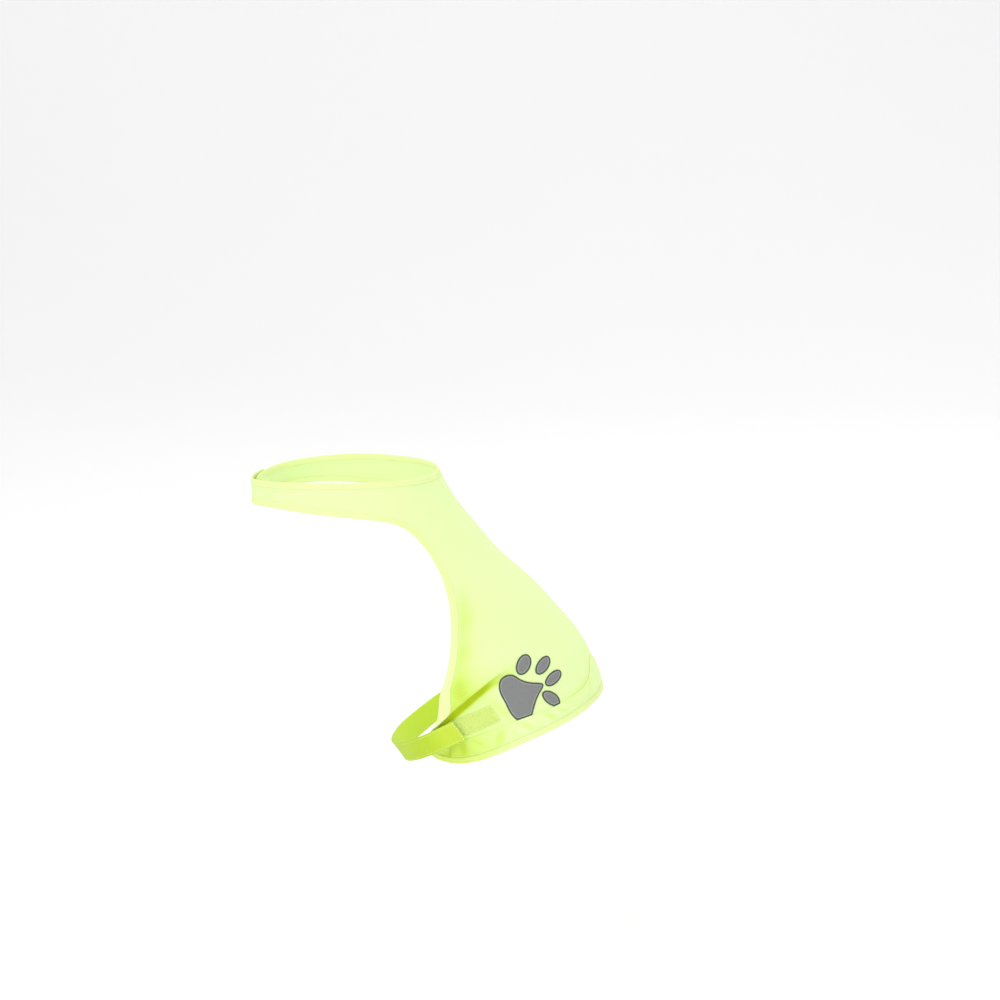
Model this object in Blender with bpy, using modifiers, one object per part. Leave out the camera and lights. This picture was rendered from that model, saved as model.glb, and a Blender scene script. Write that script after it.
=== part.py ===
"""Dog safety vest, worn: a back panel with two neck arms, bound edges, a hem band, a belly strap and a paw.

The vest is a wall of cloth round a smooth, hollow torso. Every point of it is first given on that
torso, as millimetres along the ridge of the back from the nape and degrees round from the ridge,
left side positive, and then as a height outwards from the wearer.
X runs from head to tail, Z up, and the left side is at -Y. The origin is on the ridge at the withers.
"""

import math

import bmesh
import bpy
from mathutils import Vector
from mathutils.bvhtree import BVHTree

MM = 0.001

# Sizes, in millimetres
WALL = 1.8
GAP = 0.3
SEAT_GAP = 0.4
BINDING_WIDTH = 5.2
BINDING_THICKNESS = 2.3
BINDING_ROUNDING = 0.7
BAND_THICKNESS = 0.9
STRAP_WIDTH = 17.5
STRAP_THICKNESS = 1.5
TAPE_THICKNESS = 0.9
LOOP_PATCH_WIDTH = 15.5
STRAP_HOOK_WIDTH = 13.0
THROAT_TAPE_WIDTH = 6.4
PAW_THICKNESS = 0.8

# Torso that the vest is worn on, a section for each station along the ridge
# along, ridge_x, ridge_z in mm; tilt of the section in degrees; depth, width in mm
TORSO = (
    (0, -47.5, 66.7, -3.6, 141, 106.1),
    (30, -32.4, 39.6, -0.6, 155, 120.1),
    (58, -14.3, 17.2, 3.8, 170.6, 132.6),
    (80, 0, 0, 8.2, 179.3, 140.1),
    (117, 28, -24, 16.3, 189, 146),
    (150, 50.9, -47.8, 22.4, 184.7, 147.9),
    (186, 72.6, -75.4, 25.7, 174.4, 145.9),
    (224, 86.3, -107.8, 27.1, 166.4, 142),
)
SECTION_POWER = 2.2

# Outline of the left half, from the end of its neck arm round the front edge and corner to the ridge
# along in mm, around in degrees
OUTLINE = (
    (33, 196),
    (33, 180),
    (31, 150),
    (30, 120),
    (31, 96),
    (33, 79),
    (35.5, 68),
    (40.5, 59.5),
    (57, 53.5),
    (77, 53.2),
    (99, 58.8),
    (119, 67.5),
    (137.5, 77.3),
    (154, 87.7),
    (171, 100.3),
    (186.5, 115),
    (199, 122.5),
    (207.5, 122),
    (212.5, 118.1),
    (217, 112.9),
    (221.2, 104.7),
    (224.3, 92.1),
    (226, 72.9),
    (228.3, 47.7),
    (229.5, 21.7),
    (229.5, 0),
)
SHOULDER = 7
FRONT_END = 15
CORNER = 18
BAND_END = 19

# Upper edge of the hem band, which rises in an arch over the ridge
# around in degrees, inset from the hem in mm
BAND_TOP = ((0, 31), (6, 28.6), (12, 24), (19, 20.3), (28, 18.5), (50, 18.3), (62, 19.2), (72, 20.4), (120, 20.5))

# Neck edge, the same on both sides
# around in degrees, along in mm
NECK_EDGE = ((0, 2), (50, 3), (90, 6), (130, 11), (180, 15), (196, 15))

# Neck arms meet at the throat, the left one on top
LEFT_ARM_END = 196
RIGHT_ARM_END = 192
LAP_RISE = (138, 160)
LAP_HEIGHT = WALL + 2 * TAPE_THICKNESS + 3 * GAP
THROAT_TAPE = (170, 190)

# Tension fold from the strap towards the paw
# around in degrees, along and rise in mm
FOLD = (
    (122, 189, 0.0),
    (116, 186.5, 1.0),
    (110, 184, 2.8),
    (104, 181.5, 4.2),
    (93.6, 176.4, 5.4),
    (84.7, 171.6, 5.2),
    (76, 167.5, 4.0),
    (68.4, 164.5, 2.6),
    (60, 164, 0.6),
    (52, 164, 0.0),
)
FOLD_SPREAD = 17.0
FOLD_DROP = 3.4
RIGHT_FOLD_SHARE = 0.55

# Trough beside the front edge
TROUGH_DEPTH = 1.3
TROUGH_INSET = 14.0
TROUGH_SPREAD = 6.0
TROUGH_ALONG = (85, 175)

# Belly strap, from its free end on the left side round under the belly to the right side
# around in degrees, along its middle and height of its inner face in mm
STRAP_ROUTE = (
    (97.6, 192.2, 5.3),
    (106, 193.1, 5.3),
    (118, 194.6, 4.8),
    (132, 196.7, 3.1),
    (150, 198.5, 0.8),
    (180, 199.3, 0.3),
    (215, 198.5, 0.8),
    (232, 197.2, 3.3),
    (242, 196.5, 3.6),
    (262, 194.5, 3.5),
)
LOOP_PATCH_MIDDLE = 192.0
LOOP_PATCH = (80.3, 101)
STRAP_HOOK = (99.6, 110)

# Paw on the left side: place of its middle, lean of its top towards the neck in degrees
PAW_PLACE = (188.8, 63.8)
PAW_LEAN = 8.0
# Outline of the pad in mm from its middle, round from its top towards the hem
# across, up
PAD = (
    (0, 18.8),
    (5.5, 11.6),
    (11.3, 4.9),
    (15.6, 1.2),
    (20, -3.5),
    (20, -10.5),
    (10, -14.8),
    (0, -14.3),
    (-9, -13),
    (-17, -8.2),
    (-19.8, -1.5),
    (-17.3, 3.6),
    (-12, 5.8),
    (-5.5, 11.8),
)
PAD_LEAN = -9.0
# across and up in mm, lean towards the neck in degrees, half of the width and of the length in mm
TOES = (
    (-18.2, 18.5, 24, 5.0, 9.7),
    (-8.5, 30.0, 13, 4.5, 9.9),
    (4.5, 29.2, 3, 4.6, 9.5),
    (16.4, 17.0, -68, 5.2, 9.0),
)
# Share of the outline between the two places that give the direction of the paw's cut
CUT_STEP = 0.01

# Counts of quads in the meshes
PANEL_ROWS = 26
PANEL_COLUMNS = 36
ARM_ROWS = 3
ARM_COLUMNS = 22
FRONT_BINDING_COLUMNS = 50
NECK_BINDING_COLUMNS = 56
HEM_BINDING_COLUMNS = 78
HEM_BAND_COLUMNS = 100
STRAP_COLUMNS = 44


def natural_spline(places, values):
    """The natural cubic spline through the points, going on straight beyond its ends."""
    last = len(places) - 1
    steps = [places[k + 1] - places[k] for k in range(last)]
    slopes = [(values[k + 1] - values[k]) / steps[k] for k in range(last)]
    # Forward elimination and back substitution for the second derivatives.
    factors = [0.0]
    rests = [0.0]
    for k in range(1, last):
        pivot = 2 * (steps[k - 1] + steps[k]) - steps[k - 1] * factors[k - 1]
        factors.append(steps[k] / pivot)
        rests.append((6 * (slopes[k] - slopes[k - 1]) - steps[k - 1] * rests[k - 1]) / pivot)
    bends = [0.0] * (last + 1)
    for k in range(last - 1, 0, -1):
        bends[k] = rests[k] - factors[k] * bends[k + 1]

    def value(place):
        if place < places[0]:
            start_slope = slopes[0] - steps[0] * bends[1] / 6
            return values[0] + start_slope * (place - places[0])
        if place > places[-1]:
            end_slope = slopes[-1] + steps[-1] * bends[-2] / 6
            return values[-1] + end_slope * (place - places[-1])
        k = max(i for i in range(last) if places[i] <= place)
        before = place - places[k]
        after = places[k + 1] - place
        bent = bends[k] * after**3 + bends[k + 1] * before**3
        line = values[k] * after + values[k + 1] * before
        pull = steps[k] * (bends[k] * after + bends[k + 1] * before) / 6
        return (bent / 6 + line) / steps[k] - pull

    return value


def columns(table):
    return [list(column) for column in zip(*table)]


def smooth_step(low, high, value):
    part = min(max((value - low) / (high - low), 0.0), 1.0)
    return part * part * (3 - 2 * part)


def bump(distance, spread):
    return math.exp(-((distance / spread) ** 2))


STATIONS, *TORSO_VALUES = columns(TORSO)
TORSO_SPLINES = [natural_spline(STATIONS, values) for values in TORSO_VALUES]


def torso(along, around):
    """A point of the torso in mm, for mm along the ridge and degrees round from it."""
    ridge_x, ridge_z, tilt, depth, width = (spline(along) for spline in TORSO_SPLINES)
    angle = math.radians(around)
    down = math.copysign(abs(math.cos(angle)) ** (2 / SECTION_POWER), math.cos(angle))
    out = math.copysign(abs(math.sin(angle)) ** (2 / SECTION_POWER), math.sin(angle))
    reach = depth / 2 * (1 - down)
    lean = math.radians(tilt)
    return Vector((ridge_x - reach * math.cos(lean), -out * width / 2, ridge_z - reach * math.sin(lean)))


def slopes_at(along, around):
    """How far the torso's point moves for 1 mm along and for 1 degree round."""
    step = 0.25
    by_along = (torso(along + step, around) - torso(along - step, around)) / (2 * step)
    by_around = (torso(along, around + step) - torso(along, around - step)) / (2 * step)
    return by_along, by_around


def outward(along, around):
    by_along, by_around = slopes_at(along, around)
    return by_around.cross(by_along).normalized()


def raised(along, around, height):
    return torso(along, around) + height * outward(along, around)


FOLD_AROUND, FOLD_ALONG, FOLD_RISE = columns(sorted(FOLD))
fold_line = natural_spline(FOLD_AROUND, FOLD_ALONG)
fold_rise = natural_spline(FOLD_AROUND, FOLD_RISE)
OUTLINE_ALONG, OUTLINE_AROUND = columns(OUTLINE)
front_edge = natural_spline(OUTLINE_ALONG[SHOULDER:CORNER], OUTLINE_AROUND[SHOULDER:CORNER])
band_top = natural_spline(*columns(BAND_TOP))


def fold_height(along, turn):
    """The fold's crest: a long rise from above and a steep drop towards the hem."""
    if not FOLD_AROUND[0] < turn < FOLD_AROUND[-1]:
        return 0.0
    past = along - fold_line(turn)
    spread = FOLD_SPREAD if past < 0 else FOLD_DROP
    return max(fold_rise(turn), 0.0) * bump(past, spread)


def trough_height(along, turn):
    """A soft hollow beside the front edge, fading out at both ends."""
    by_around = slopes_at(along, turn)[1].length
    inside = (front_edge(along) - turn) * by_around - TROUGH_INSET
    start, end = TROUGH_ALONG
    share = smooth_step(start, start + 25, along) * (1 - smooth_step(end - 25, end, along))
    return -TROUGH_DEPTH * share * bump(inside, TROUGH_SPREAD)


def relief(along, around):
    """Height of the cloth's inner face over the torso, from its folds and the lap at the throat."""
    turn = abs(around)
    height = 0.0
    if along > OUTLINE_ALONG[SHOULDER] and turn < LAP_RISE[0]:
        share = 1.0 if around > 0 else RIGHT_FOLD_SHARE
        height += share * fold_height(along, turn)
        height += trough_height(along, turn)
    if around > 0 and along < OUTLINE_ALONG[SHOULDER]:
        height += LAP_HEIGHT * smooth_step(*LAP_RISE, around)
    return height


def cloth(along, around, height=0.0):
    """A point in metres, at a height in mm over the cloth's inner face."""
    return MM * raised(along, around, relief(along, around) + height)


class Edge:
    """A smooth line on the torso with the cloth on one side, read by a fraction from 0 to 1."""

    def __init__(self, table, cloth_side):
        places = [0.0]
        for here, there in zip(table, table[1:]):
            places.append(places[-1] + (torso(*there) - torso(*here)).length)
        self.length = places[-1]
        self.places = [place / self.length for place in places]
        self.along = natural_spline(self.places, [row[0] for row in table])
        self.around = natural_spline(self.places, [row[1] for row in table])
        self.cloth_side = cloth_side

    def point(self, fraction, inset=0.0):
        """The line's along and around at a fraction, moved in mm square to the line into the cloth."""
        along = self.along(fraction)
        around = self.around(fraction)
        if inset == 0.0:
            return along, around
        step = 0.002
        by_along, by_around = slopes_at(along, around)
        run = (self.along(fraction + step) - self.along(fraction - step)) * by_along.length
        turn = (self.around(fraction + step) - self.around(fraction - step)) * by_around.length
        size = self.cloth_side * inset / math.hypot(run, turn)
        return along + turn * size / by_along.length, around - run * size / by_around.length

    def fraction_at(self, around, low, high, inset=0.0):
        """Where the moved line passes an angle, found by halving between two fractions."""
        for _ in range(40):
            middle = (low + high) / 2
            if self.point(middle, inset)[1] > around:
                low = middle
            else:
                high = middle
        return (low + high) / 2


OUTLINE_EDGE = Edge(OUTLINE, 1)
NECK_LINE = Edge([(along, around) for around, along in reversed(NECK_EDGE)], -1)
INSET = BINDING_WIDTH + SEAT_GAP
SHOULDER_AT = OUTLINE_EDGE.places[SHOULDER]
FRONT_END_AT = OUTLINE_EDGE.places[FRONT_END]
CORNER_AT = OUTLINE_EDGE.places[CORNER]


def material(name, colour, roughness, metallic=0.0):
    made = bpy.data.materials.new(name)
    made.use_nodes = True
    shader = made.node_tree.nodes["Principled BSDF"]
    shader.inputs["Base Color"].default_value = (*colour, 1.0)
    shader.inputs["Roughness"].default_value = roughness
    shader.inputs["Metallic"].default_value = metallic
    return made


def grid(place, rows, row_count, column_count):
    """A sheet of quads: place gives the point for a row's and a column's fraction."""
    bmesh.ops.create_grid(rows, x_segments=row_count, y_segments=column_count, size=0.5)
    for vertex in rows.verts:
        vertex.co = place(vertex.co.x + 0.5, vertex.co.y + 0.5)


def facing_out(sheet, middle):
    """Turns the sheet's faces so that they look away from the wearer at a known place."""
    near = min(sheet.faces, key=lambda face: (face.calc_center_median() - cloth(*middle)).length)
    near.normal_update()
    if near.normal.dot(outward(*middle)) < 0:
        bmesh.ops.reverse_faces(sheet, faces=sheet.faces)


def finished(name, sheet, middle, thickness, finish, bevel=0.0):
    """Makes the object from an open sheet, thickened away from the wearer."""
    bmesh.ops.remove_doubles(sheet, verts=sheet.verts, dist=0.00001)
    sheet.normal_update()
    facing_out(sheet, middle)
    mesh = bpy.data.meshes.new(name)
    sheet.to_mesh(mesh)
    sheet.free()
    mesh.shade_smooth()
    piece = bpy.data.objects.new(name, mesh)
    VEST.objects.link(piece)
    mesh.materials.append(finish)
    solid = piece.modifiers.new("Thickness", "SOLIDIFY")
    solid.thickness = thickness * MM
    solid.offset = 1.0
    solid.use_even_offset = True
    if bevel:
        rounding = piece.modifiers.new("Rounding", "BEVEL")
        rounding.width = bevel * MM
        rounding.segments = 1
        rounding.limit_method = "ANGLE"
        rounding.angle_limit = math.radians(50)
    return piece


def mixed(start, end, share):
    return start + (end - start) * share


def neck_inset(around):
    """How far along the cloth of the neck begins at an angle, beside its binding."""
    return NECK_LINE.point(NECK_LINE.fraction_at(around, 0.0, 1.0, INSET), INSET)[0]


def half_panel(down, share):
    """Along and around in the left half of the panel: a patch blended from its four edges."""
    side_top = OUTLINE_EDGE.point(SHOULDER_AT, INSET)
    corner = OUTLINE_EDGE.point(CORNER_AT, INSET)
    hem_middle = OUTLINE_EDGE.point(1.0, INSET)[0]
    side = OUTLINE_EDGE.point(mixed(SHOULDER_AT, CORNER_AT, down), INSET)
    hem = OUTLINE_EDGE.point(mixed(1.0, CORNER_AT, share), INSET)
    top = (side_top[0], side_top[1] * share)
    ridge = (mixed(side_top[0], hem_middle, down), 0.0)
    corners = ((side_top[0], 0.0), side_top, (hem_middle, 0.0), corner)
    blended = []
    for k in (0, 1):
        top_left, top_right, low_left, low_right = (point[k] for point in corners)
        flat = mixed(mixed(top_left, top_right, share), mixed(low_left, low_right, share), down)
        blended.append(mixed(top[k], hem[k], down) + mixed(ridge[k], side[k], share) - flat)
    return blended


def back_panel(finish):
    """The panel from shoulder to hem and, above it, the yoke and the neck arms out to the throat."""
    side_top = OUTLINE_EDGE.point(SHOULDER_AT, INSET)

    def panel_point(down, across):
        turned = 2 * across - 1
        along, around = half_panel(down, abs(turned))
        return cloth(along, math.copysign(around, turned))

    def yoke_point(down, across):
        around = mixed(-side_top[1], side_top[1], across)
        return cloth(mixed(neck_inset(abs(around)), side_top[0], down), around)

    def arm_point(side, end):
        end_at = OUTLINE_EDGE.fraction_at(end, 0.0, SHOULDER_AT, INSET)

        def point(down, out):
            low = OUTLINE_EDGE.point(mixed(SHOULDER_AT, end_at, out), INSET)
            return cloth(mixed(neck_inset(low[1]), low[0], down), side * low[1])

        return point

    sheet = bmesh.new()
    patches = (
        (panel_point, PANEL_ROWS, PANEL_COLUMNS),
        (yoke_point, ARM_ROWS, PANEL_COLUMNS),
        (arm_point(1, LEFT_ARM_END), ARM_ROWS, ARM_COLUMNS),
        (arm_point(-1, RIGHT_ARM_END), ARM_ROWS, ARM_COLUMNS),
    )
    for point, row_count, column_count in patches:
        patch = bmesh.new()
        grid(point, patch, row_count, column_count)
        mesh = bpy.data.meshes.new("patch")
        patch.to_mesh(mesh)
        patch.free()
        sheet.from_mesh(mesh)
        bpy.data.meshes.remove(mesh)
    bmesh.ops.remove_doubles(sheet, verts=sheet.verts, dist=0.00002)
    bmesh.ops.recalc_face_normals(sheet, faces=sheet.faces)
    return finished("back_panel", sheet, (120.0, 0.0), WALL, finish)


def binding(name, edge, start, end, side, segments, finish):
    """A bound edge on one side: a band with rounded edges along the line."""

    def point(down, out):
        along, around = edge.point(mixed(start, end, out), BINDING_WIDTH * down)
        return cloth(along, side * around)

    sheet = bmesh.new()
    grid(point, sheet, 1, segments)
    along, around = edge.point((start + end) / 2, BINDING_WIDTH / 2)
    return finished(name, sheet, (along, side * around), BINDING_THICKNESS, finish, bevel=BINDING_ROUNDING)


def across_ridge(edge, left_start, right_start, out):
    """The fraction on an edge and the side of the body, from the right start over the ridge to the left."""
    turned = 2 * out - 1
    start = left_start if turned > 0 else right_start
    return mixed(1.0, start, abs(turned)), math.copysign(1.0, turned)


def crossing_binding(name, edge, left_start, right_start, segments, finish):
    """A bound edge that runs over the ridge from one side to the other."""

    def point(down, out):
        fraction, side = across_ridge(edge, left_start, right_start, out)
        along, around = edge.point(fraction, BINDING_WIDTH * down)
        return cloth(along, side * around)

    sheet = bmesh.new()
    grid(point, sheet, 1, segments)
    along = edge.point(1.0, BINDING_WIDTH / 2)[0]
    return finished(name, sheet, (along, 0.0), BINDING_THICKNESS, finish, bevel=BINDING_ROUNDING)


def seat_on(piece):
    """A function that lays a point on the outer face of a finished piece, at a height over its facets."""
    tree = BVHTree.FromObject(piece, bpy.context.evaluated_depsgraph_get())
    reach = 40.0

    def seated(along, around, height):
        out = outward(along, around)
        # A ray can slip between two faces or meet the panel's rim, so it is sent again a little to the side.
        for nudge in (0.0, 0.03, -0.03, 0.07):
            start = MM * raised(along, around + nudge, reach)
            hit, normal = tree.ray_cast(start, -out, 1.5 * reach * MM)[:2]
            if hit is not None and normal.dot(out) > 0.5:
                return hit + out * height * MM
        return cloth(along, around, WALL + height)

    return seated


def band_edge(fraction, beyond=0.0):
    """Along and around on the upper edge of the hem band, or in mm beyond it."""
    return OUTLINE_EDGE.point(fraction, band_top(OUTLINE_EDGE.around(fraction)) + beyond)


def hem_band(seated, finish):
    """The facing applied along the hem, from the binding up over the lower edge of the paw."""
    start = OUTLINE_EDGE.places[BAND_END]

    def point(down, out):
        fraction, side = across_ridge(OUTLINE_EDGE, start, start, out)
        top = band_top(OUTLINE_EDGE.around(fraction))
        along, around = OUTLINE_EDGE.point(fraction, mixed(INSET + GAP, top, down))
        return seated(along, side * around, SEAT_GAP)

    sheet = bmesh.new()
    grid(point, sheet, 2, HEM_BAND_COLUMNS)
    along = OUTLINE_EDGE.point(1.0, 2 * INSET)[0]
    return finished("hem_band", sheet, (along, 0.0), BAND_THICKNESS, finish)


def tape(name, along, place, width, turn, counts, thickness, finish):
    """A straight tape round the body: place takes mm from its middle line and degrees around.

    Along tells roughly where the tape lies, so that its faces are turned outwards.
    """

    def point(down, out):
        return place(width * (down - 0.5), mixed(*turn, out))

    sheet = bmesh.new()
    grid(point, sheet, *counts)
    return finished(name, sheet, (along, sum(turn) / 2), thickness, finish)


def strap_and_tapes(seated, strap_finish, tape_finish):
    """The belly strap, and both halves of the fastenings at its free end and at the throat."""
    turns, middles, heights = columns(STRAP_ROUTE)
    strap_middle = natural_spline(turns, middles)
    strap_height = natural_spline(turns, heights)
    throat_middle = (neck_inset(180) + OUTLINE_EDGE.point(OUTLINE_EDGE.places[1], INSET)[0]) / 2

    def on_strap(across, around, below=0.0):
        return MM * raised(strap_middle(around) + across, around, strap_height(around) - below)

    def under_strap(across, around):
        return on_strap(across, around, GAP + TAPE_THICKNESS)

    def on_panel(across, around):
        return seated(LOOP_PATCH_MIDDLE + across, around, SEAT_GAP)

    def on_right_arm(across, around):
        return MM * raised(throat_middle + across, around, WALL + GAP)

    def on_left_arm(across, around):
        return MM * raised(throat_middle + across, around, WALL + 2 * GAP + TAPE_THICKNESS)

    ends = (turns[0], turns[-1])
    tape("belly_strap", STRAP_ROUTE[0][1], on_strap, STRAP_WIDTH, ends, (3, STRAP_COLUMNS), STRAP_THICKNESS, strap_finish)
    tape("strap_hook", STRAP_ROUTE[0][1], under_strap, STRAP_HOOK_WIDTH, STRAP_HOOK, (3, 4), TAPE_THICKNESS, tape_finish)
    tape("loop_patch", LOOP_PATCH_MIDDLE, on_panel, LOOP_PATCH_WIDTH, LOOP_PATCH, (4, 10), TAPE_THICKNESS, tape_finish)
    tape("throat_loop", throat_middle, on_right_arm, THROAT_TAPE_WIDTH, THROAT_TAPE, (2, 8), TAPE_THICKNESS, tape_finish)
    tape("throat_hook", throat_middle, on_left_arm, THROAT_TAPE_WIDTH, THROAT_TAPE, (2, 8), TAPE_THICKNESS, tape_finish)


def turned_by(turn, across, up):
    return across * math.cos(turn) - up * math.sin(turn), across * math.sin(turn) + up * math.cos(turn)


def paw_shape(name, outline, middle, rings, segments, seated, finish):
    """A rounded flat shape on the panel, cut straight where the hem band covers it."""
    home_along, home_around = PAW_PLACE
    by_along, by_around = slopes_at(home_along, home_around)
    lean = math.radians(PAW_LEAN)

    def place(across, up):
        run = across * math.cos(lean) - up * math.sin(lean)
        rise = up * math.cos(lean) + across * math.sin(lean)
        return home_along + run / by_along.length, home_around - rise / by_around.length

    def point(out, round_share):
        across, up = outline(round_share)
        return seated(*place(middle[0] + across * out, middle[1] + up * out), SEAT_GAP)

    sheet = bmesh.new()
    grid(point, sheet, rings, segments)
    bmesh.ops.remove_doubles(sheet, verts=sheet.verts, dist=0.00001)
    centre = place(*middle)
    near = OUTLINE_EDGE.fraction_at(centre[1], CORNER_AT, 1.0, band_top(centre[1]))
    cut = band_edge(near, GAP)
    after = band_edge(near + CUT_STEP, GAP)
    square = (cloth(*after) - cloth(*cut)).cross(outward(*cut)).normalized()
    if square.dot(slopes_at(*cut)[0]) < 0:
        square.negate()
    bmesh.ops.bisect_plane(
        sheet,
        geom=sheet.verts[:] + sheet.edges[:] + sheet.faces[:],
        plane_co=cloth(*cut, WALL),
        plane_no=square,
        clear_outer=True,
    )
    return finished(name, sheet, centre, PAW_THICKNESS, finish)


def paw(seated, finish):
    """A plain paw print: a pad with three soft lobes and four oval toes."""
    loop = [*PAD, PAD[0]]
    # The loop is followed past both ends, so that the curve is smooth where it closes.
    tail = loop[-3:-1]
    head = loop[1:3]
    across_values, up_values = columns([*tail, *loop, *head])
    counts = range(-len(tail), len(loop) + len(head))
    pad_turn = math.radians(PAD_LEAN)
    pad_across = natural_spline(counts, across_values)
    pad_up = natural_spline(counts, up_values)

    def pad_outline(share):
        place = share * (len(loop) - 1)
        across, up = pad_across(place), pad_up(place)
        return turned_by(pad_turn, across, up)

    paw_shape("paw_pad", pad_outline, (0.0, 0.0), 5, 28, seated, finish)
    for number, (across, up, lean, half_width, half_length) in enumerate(TOES, 1):
        turn = math.radians(lean)

        def toe_outline(share, turn=turn, half_width=half_width, half_length=half_length):
            angle = 2 * math.pi * share
            return turned_by(turn, half_width * math.sin(angle), half_length * math.cos(angle))

        paw_shape(f"paw_toe_{number}", toe_outline, (across, up), 2, 16, seated, finish)


def main():
    cloth_finish = material("vest_cloth", (0.72, 0.94, 0.13), 0.8)
    binding_finish = material("binding_cloth", (0.76, 0.95, 0.18), 0.75)
    tape_finish = material("fastening_tape", (0.60, 0.82, 0.08), 0.95)
    strap_finish = material("strap_cloth", (0.58, 0.80, 0.06), 0.8)
    paw_finish = material("reflective_print", (0.16, 0.17, 0.17), 0.45)
    panel = back_panel(cloth_finish)
    bpy.context.view_layer.update()
    seated = seat_on(panel)
    for name, side, end in (("left", 1, LEFT_ARM_END), ("right", -1, RIGHT_ARM_END)):
        start = OUTLINE_EDGE.fraction_at(end, 0.0, SHOULDER_AT)
        binding(
            f"front_binding_{name}", OUTLINE_EDGE, start, FRONT_END_AT, side, FRONT_BINDING_COLUMNS, binding_finish
        )
    neck_ends = [NECK_LINE.fraction_at(end, 0.0, 1.0) for end in (LEFT_ARM_END, RIGHT_ARM_END)]
    hem_start = FRONT_END_AT + GAP / OUTLINE_EDGE.length
    crossing_binding("neck_binding", NECK_LINE, *neck_ends, NECK_BINDING_COLUMNS, binding_finish)
    crossing_binding("hem_binding", OUTLINE_EDGE, hem_start, hem_start, HEM_BINDING_COLUMNS, binding_finish)
    hem_band(seated, cloth_finish)
    strap_and_tapes(seated, strap_finish, tape_finish)
    paw(seated, paw_finish)


for old in list(bpy.data.objects):
    bpy.data.objects.remove(old)
VEST = bpy.data.collections.new("dog_safety_vest")
bpy.context.scene.collection.children.link(VEST)
main()
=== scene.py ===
import math
from contextlib import contextmanager
from functools import partial

import bmesh
import bpy
import numpy as np
from bpy.props import FloatProperty, FloatVectorProperty, PointerProperty
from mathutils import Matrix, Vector
from mathutils.kdtree import KDTree


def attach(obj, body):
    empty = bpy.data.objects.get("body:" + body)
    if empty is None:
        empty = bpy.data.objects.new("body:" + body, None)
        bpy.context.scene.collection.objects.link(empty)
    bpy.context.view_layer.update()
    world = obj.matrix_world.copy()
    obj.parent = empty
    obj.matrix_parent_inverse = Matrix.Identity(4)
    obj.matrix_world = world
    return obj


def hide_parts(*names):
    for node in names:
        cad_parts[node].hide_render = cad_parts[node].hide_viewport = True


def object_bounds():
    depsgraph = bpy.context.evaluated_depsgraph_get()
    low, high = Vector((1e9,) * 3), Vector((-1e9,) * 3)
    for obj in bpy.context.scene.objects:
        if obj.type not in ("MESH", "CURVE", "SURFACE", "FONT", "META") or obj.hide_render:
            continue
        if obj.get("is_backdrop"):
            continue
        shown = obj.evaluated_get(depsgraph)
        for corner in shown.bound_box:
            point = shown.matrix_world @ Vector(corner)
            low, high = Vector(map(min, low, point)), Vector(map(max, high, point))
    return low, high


bl_info = {
    "name": "Dog safety vest",
    "version": (1, 0, 0),
    "blender": (4, 5, 0),
    "location": "3D View > Sidebar > Vest",
    "description": "Cloth, bound edges, sewing, tapes and paw of a worn dog safety vest",
    "category": "Object",
}

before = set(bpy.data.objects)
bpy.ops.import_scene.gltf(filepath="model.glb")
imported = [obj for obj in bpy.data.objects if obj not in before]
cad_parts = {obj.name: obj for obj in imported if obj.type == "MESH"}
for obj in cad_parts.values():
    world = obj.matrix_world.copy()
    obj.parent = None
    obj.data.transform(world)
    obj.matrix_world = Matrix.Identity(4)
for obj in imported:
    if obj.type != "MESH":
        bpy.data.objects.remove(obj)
SOLIDS_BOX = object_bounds()
MM = 0.001

# The garment's form, in mm and degrees, as its solids have it: every point is given as mm along the
# ridge from the nape, degrees round from the ridge with the left side positive, and a height outwards.

# along, ridge_x, ridge_z, tilt in degrees, depth, width
TORSO = (
    (0, -47.5, 66.7, -3.6, 141, 106.1),
    (30, -32.4, 39.6, -0.6, 155, 120.1),
    (58, -14.3, 17.2, 3.8, 170.6, 132.6),
    (80, 0, 0, 8.2, 179.3, 140.1),
    (117, 28, -24, 16.3, 189, 146),
    (150, 50.9, -47.8, 22.4, 184.7, 147.9),
    (186, 72.6, -75.4, 25.7, 174.4, 145.9),
    (224, 86.3, -107.8, 27.1, 166.4, 142),
)
SECTION_POWER = 2.2
# along, around, from the end of the neck arm round the front edge and corner to the ridge
OUTLINE = (
    (33, 196),
    (33, 180),
    (31, 150),
    (30, 120),
    (31, 96),
    (33, 79),
    (35.5, 68),
    (40.5, 59.5),
    (57, 53.5),
    (77, 53.2),
    (99, 58.8),
    (119, 67.5),
    (137.5, 77.3),
    (154, 87.7),
    (171, 100.3),
    (186.5, 115),
    (199, 122.5),
    (207.5, 122),
    (212.5, 118.1),
    (217, 112.9),
    (221.2, 104.7),
    (224.3, 92.1),
    (226, 72.9),
    (228.3, 47.7),
    (229.5, 21.7),
    (229.5, 0),
)
SHOULDER = 7
FRONT_END = 15
CORNER = 18
BAND_END = 19
# Upper edge of the hem band: around, inset from the hem
BAND_TOP = ((0, 30), (6, 27.6), (12, 22.9), (19, 18.9), (28, 16.8), (50, 16.6), (62, 17.8), (72, 19.1), (120, 19.3))
# around, along
NECK_EDGE = ((0, 2), (50, 3), (90, 6), (130, 11), (180, 15), (196, 15))
LEFT_ARM_END = 196
RIGHT_ARM_END = 192
LAP_RISE = (138, 160)
LAP_HEIGHT = 4.5
THROAT_TAPE = (170, 190)
THROAT_TAPE_WIDTH = 6.4

WALL = 1.8
CLOTH = 1.0
PANEL_INSET = 1.4
STRAP_WIDTH = 17.5
STRAP_THICKNESS = 1.5
STRAP_MM_A_DEGREE = 1.5
# Close stitches over the strap's free end: space, width and rise in mm
STRAP_END_STITCH = (0.1, 1.0, 0.5)

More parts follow.
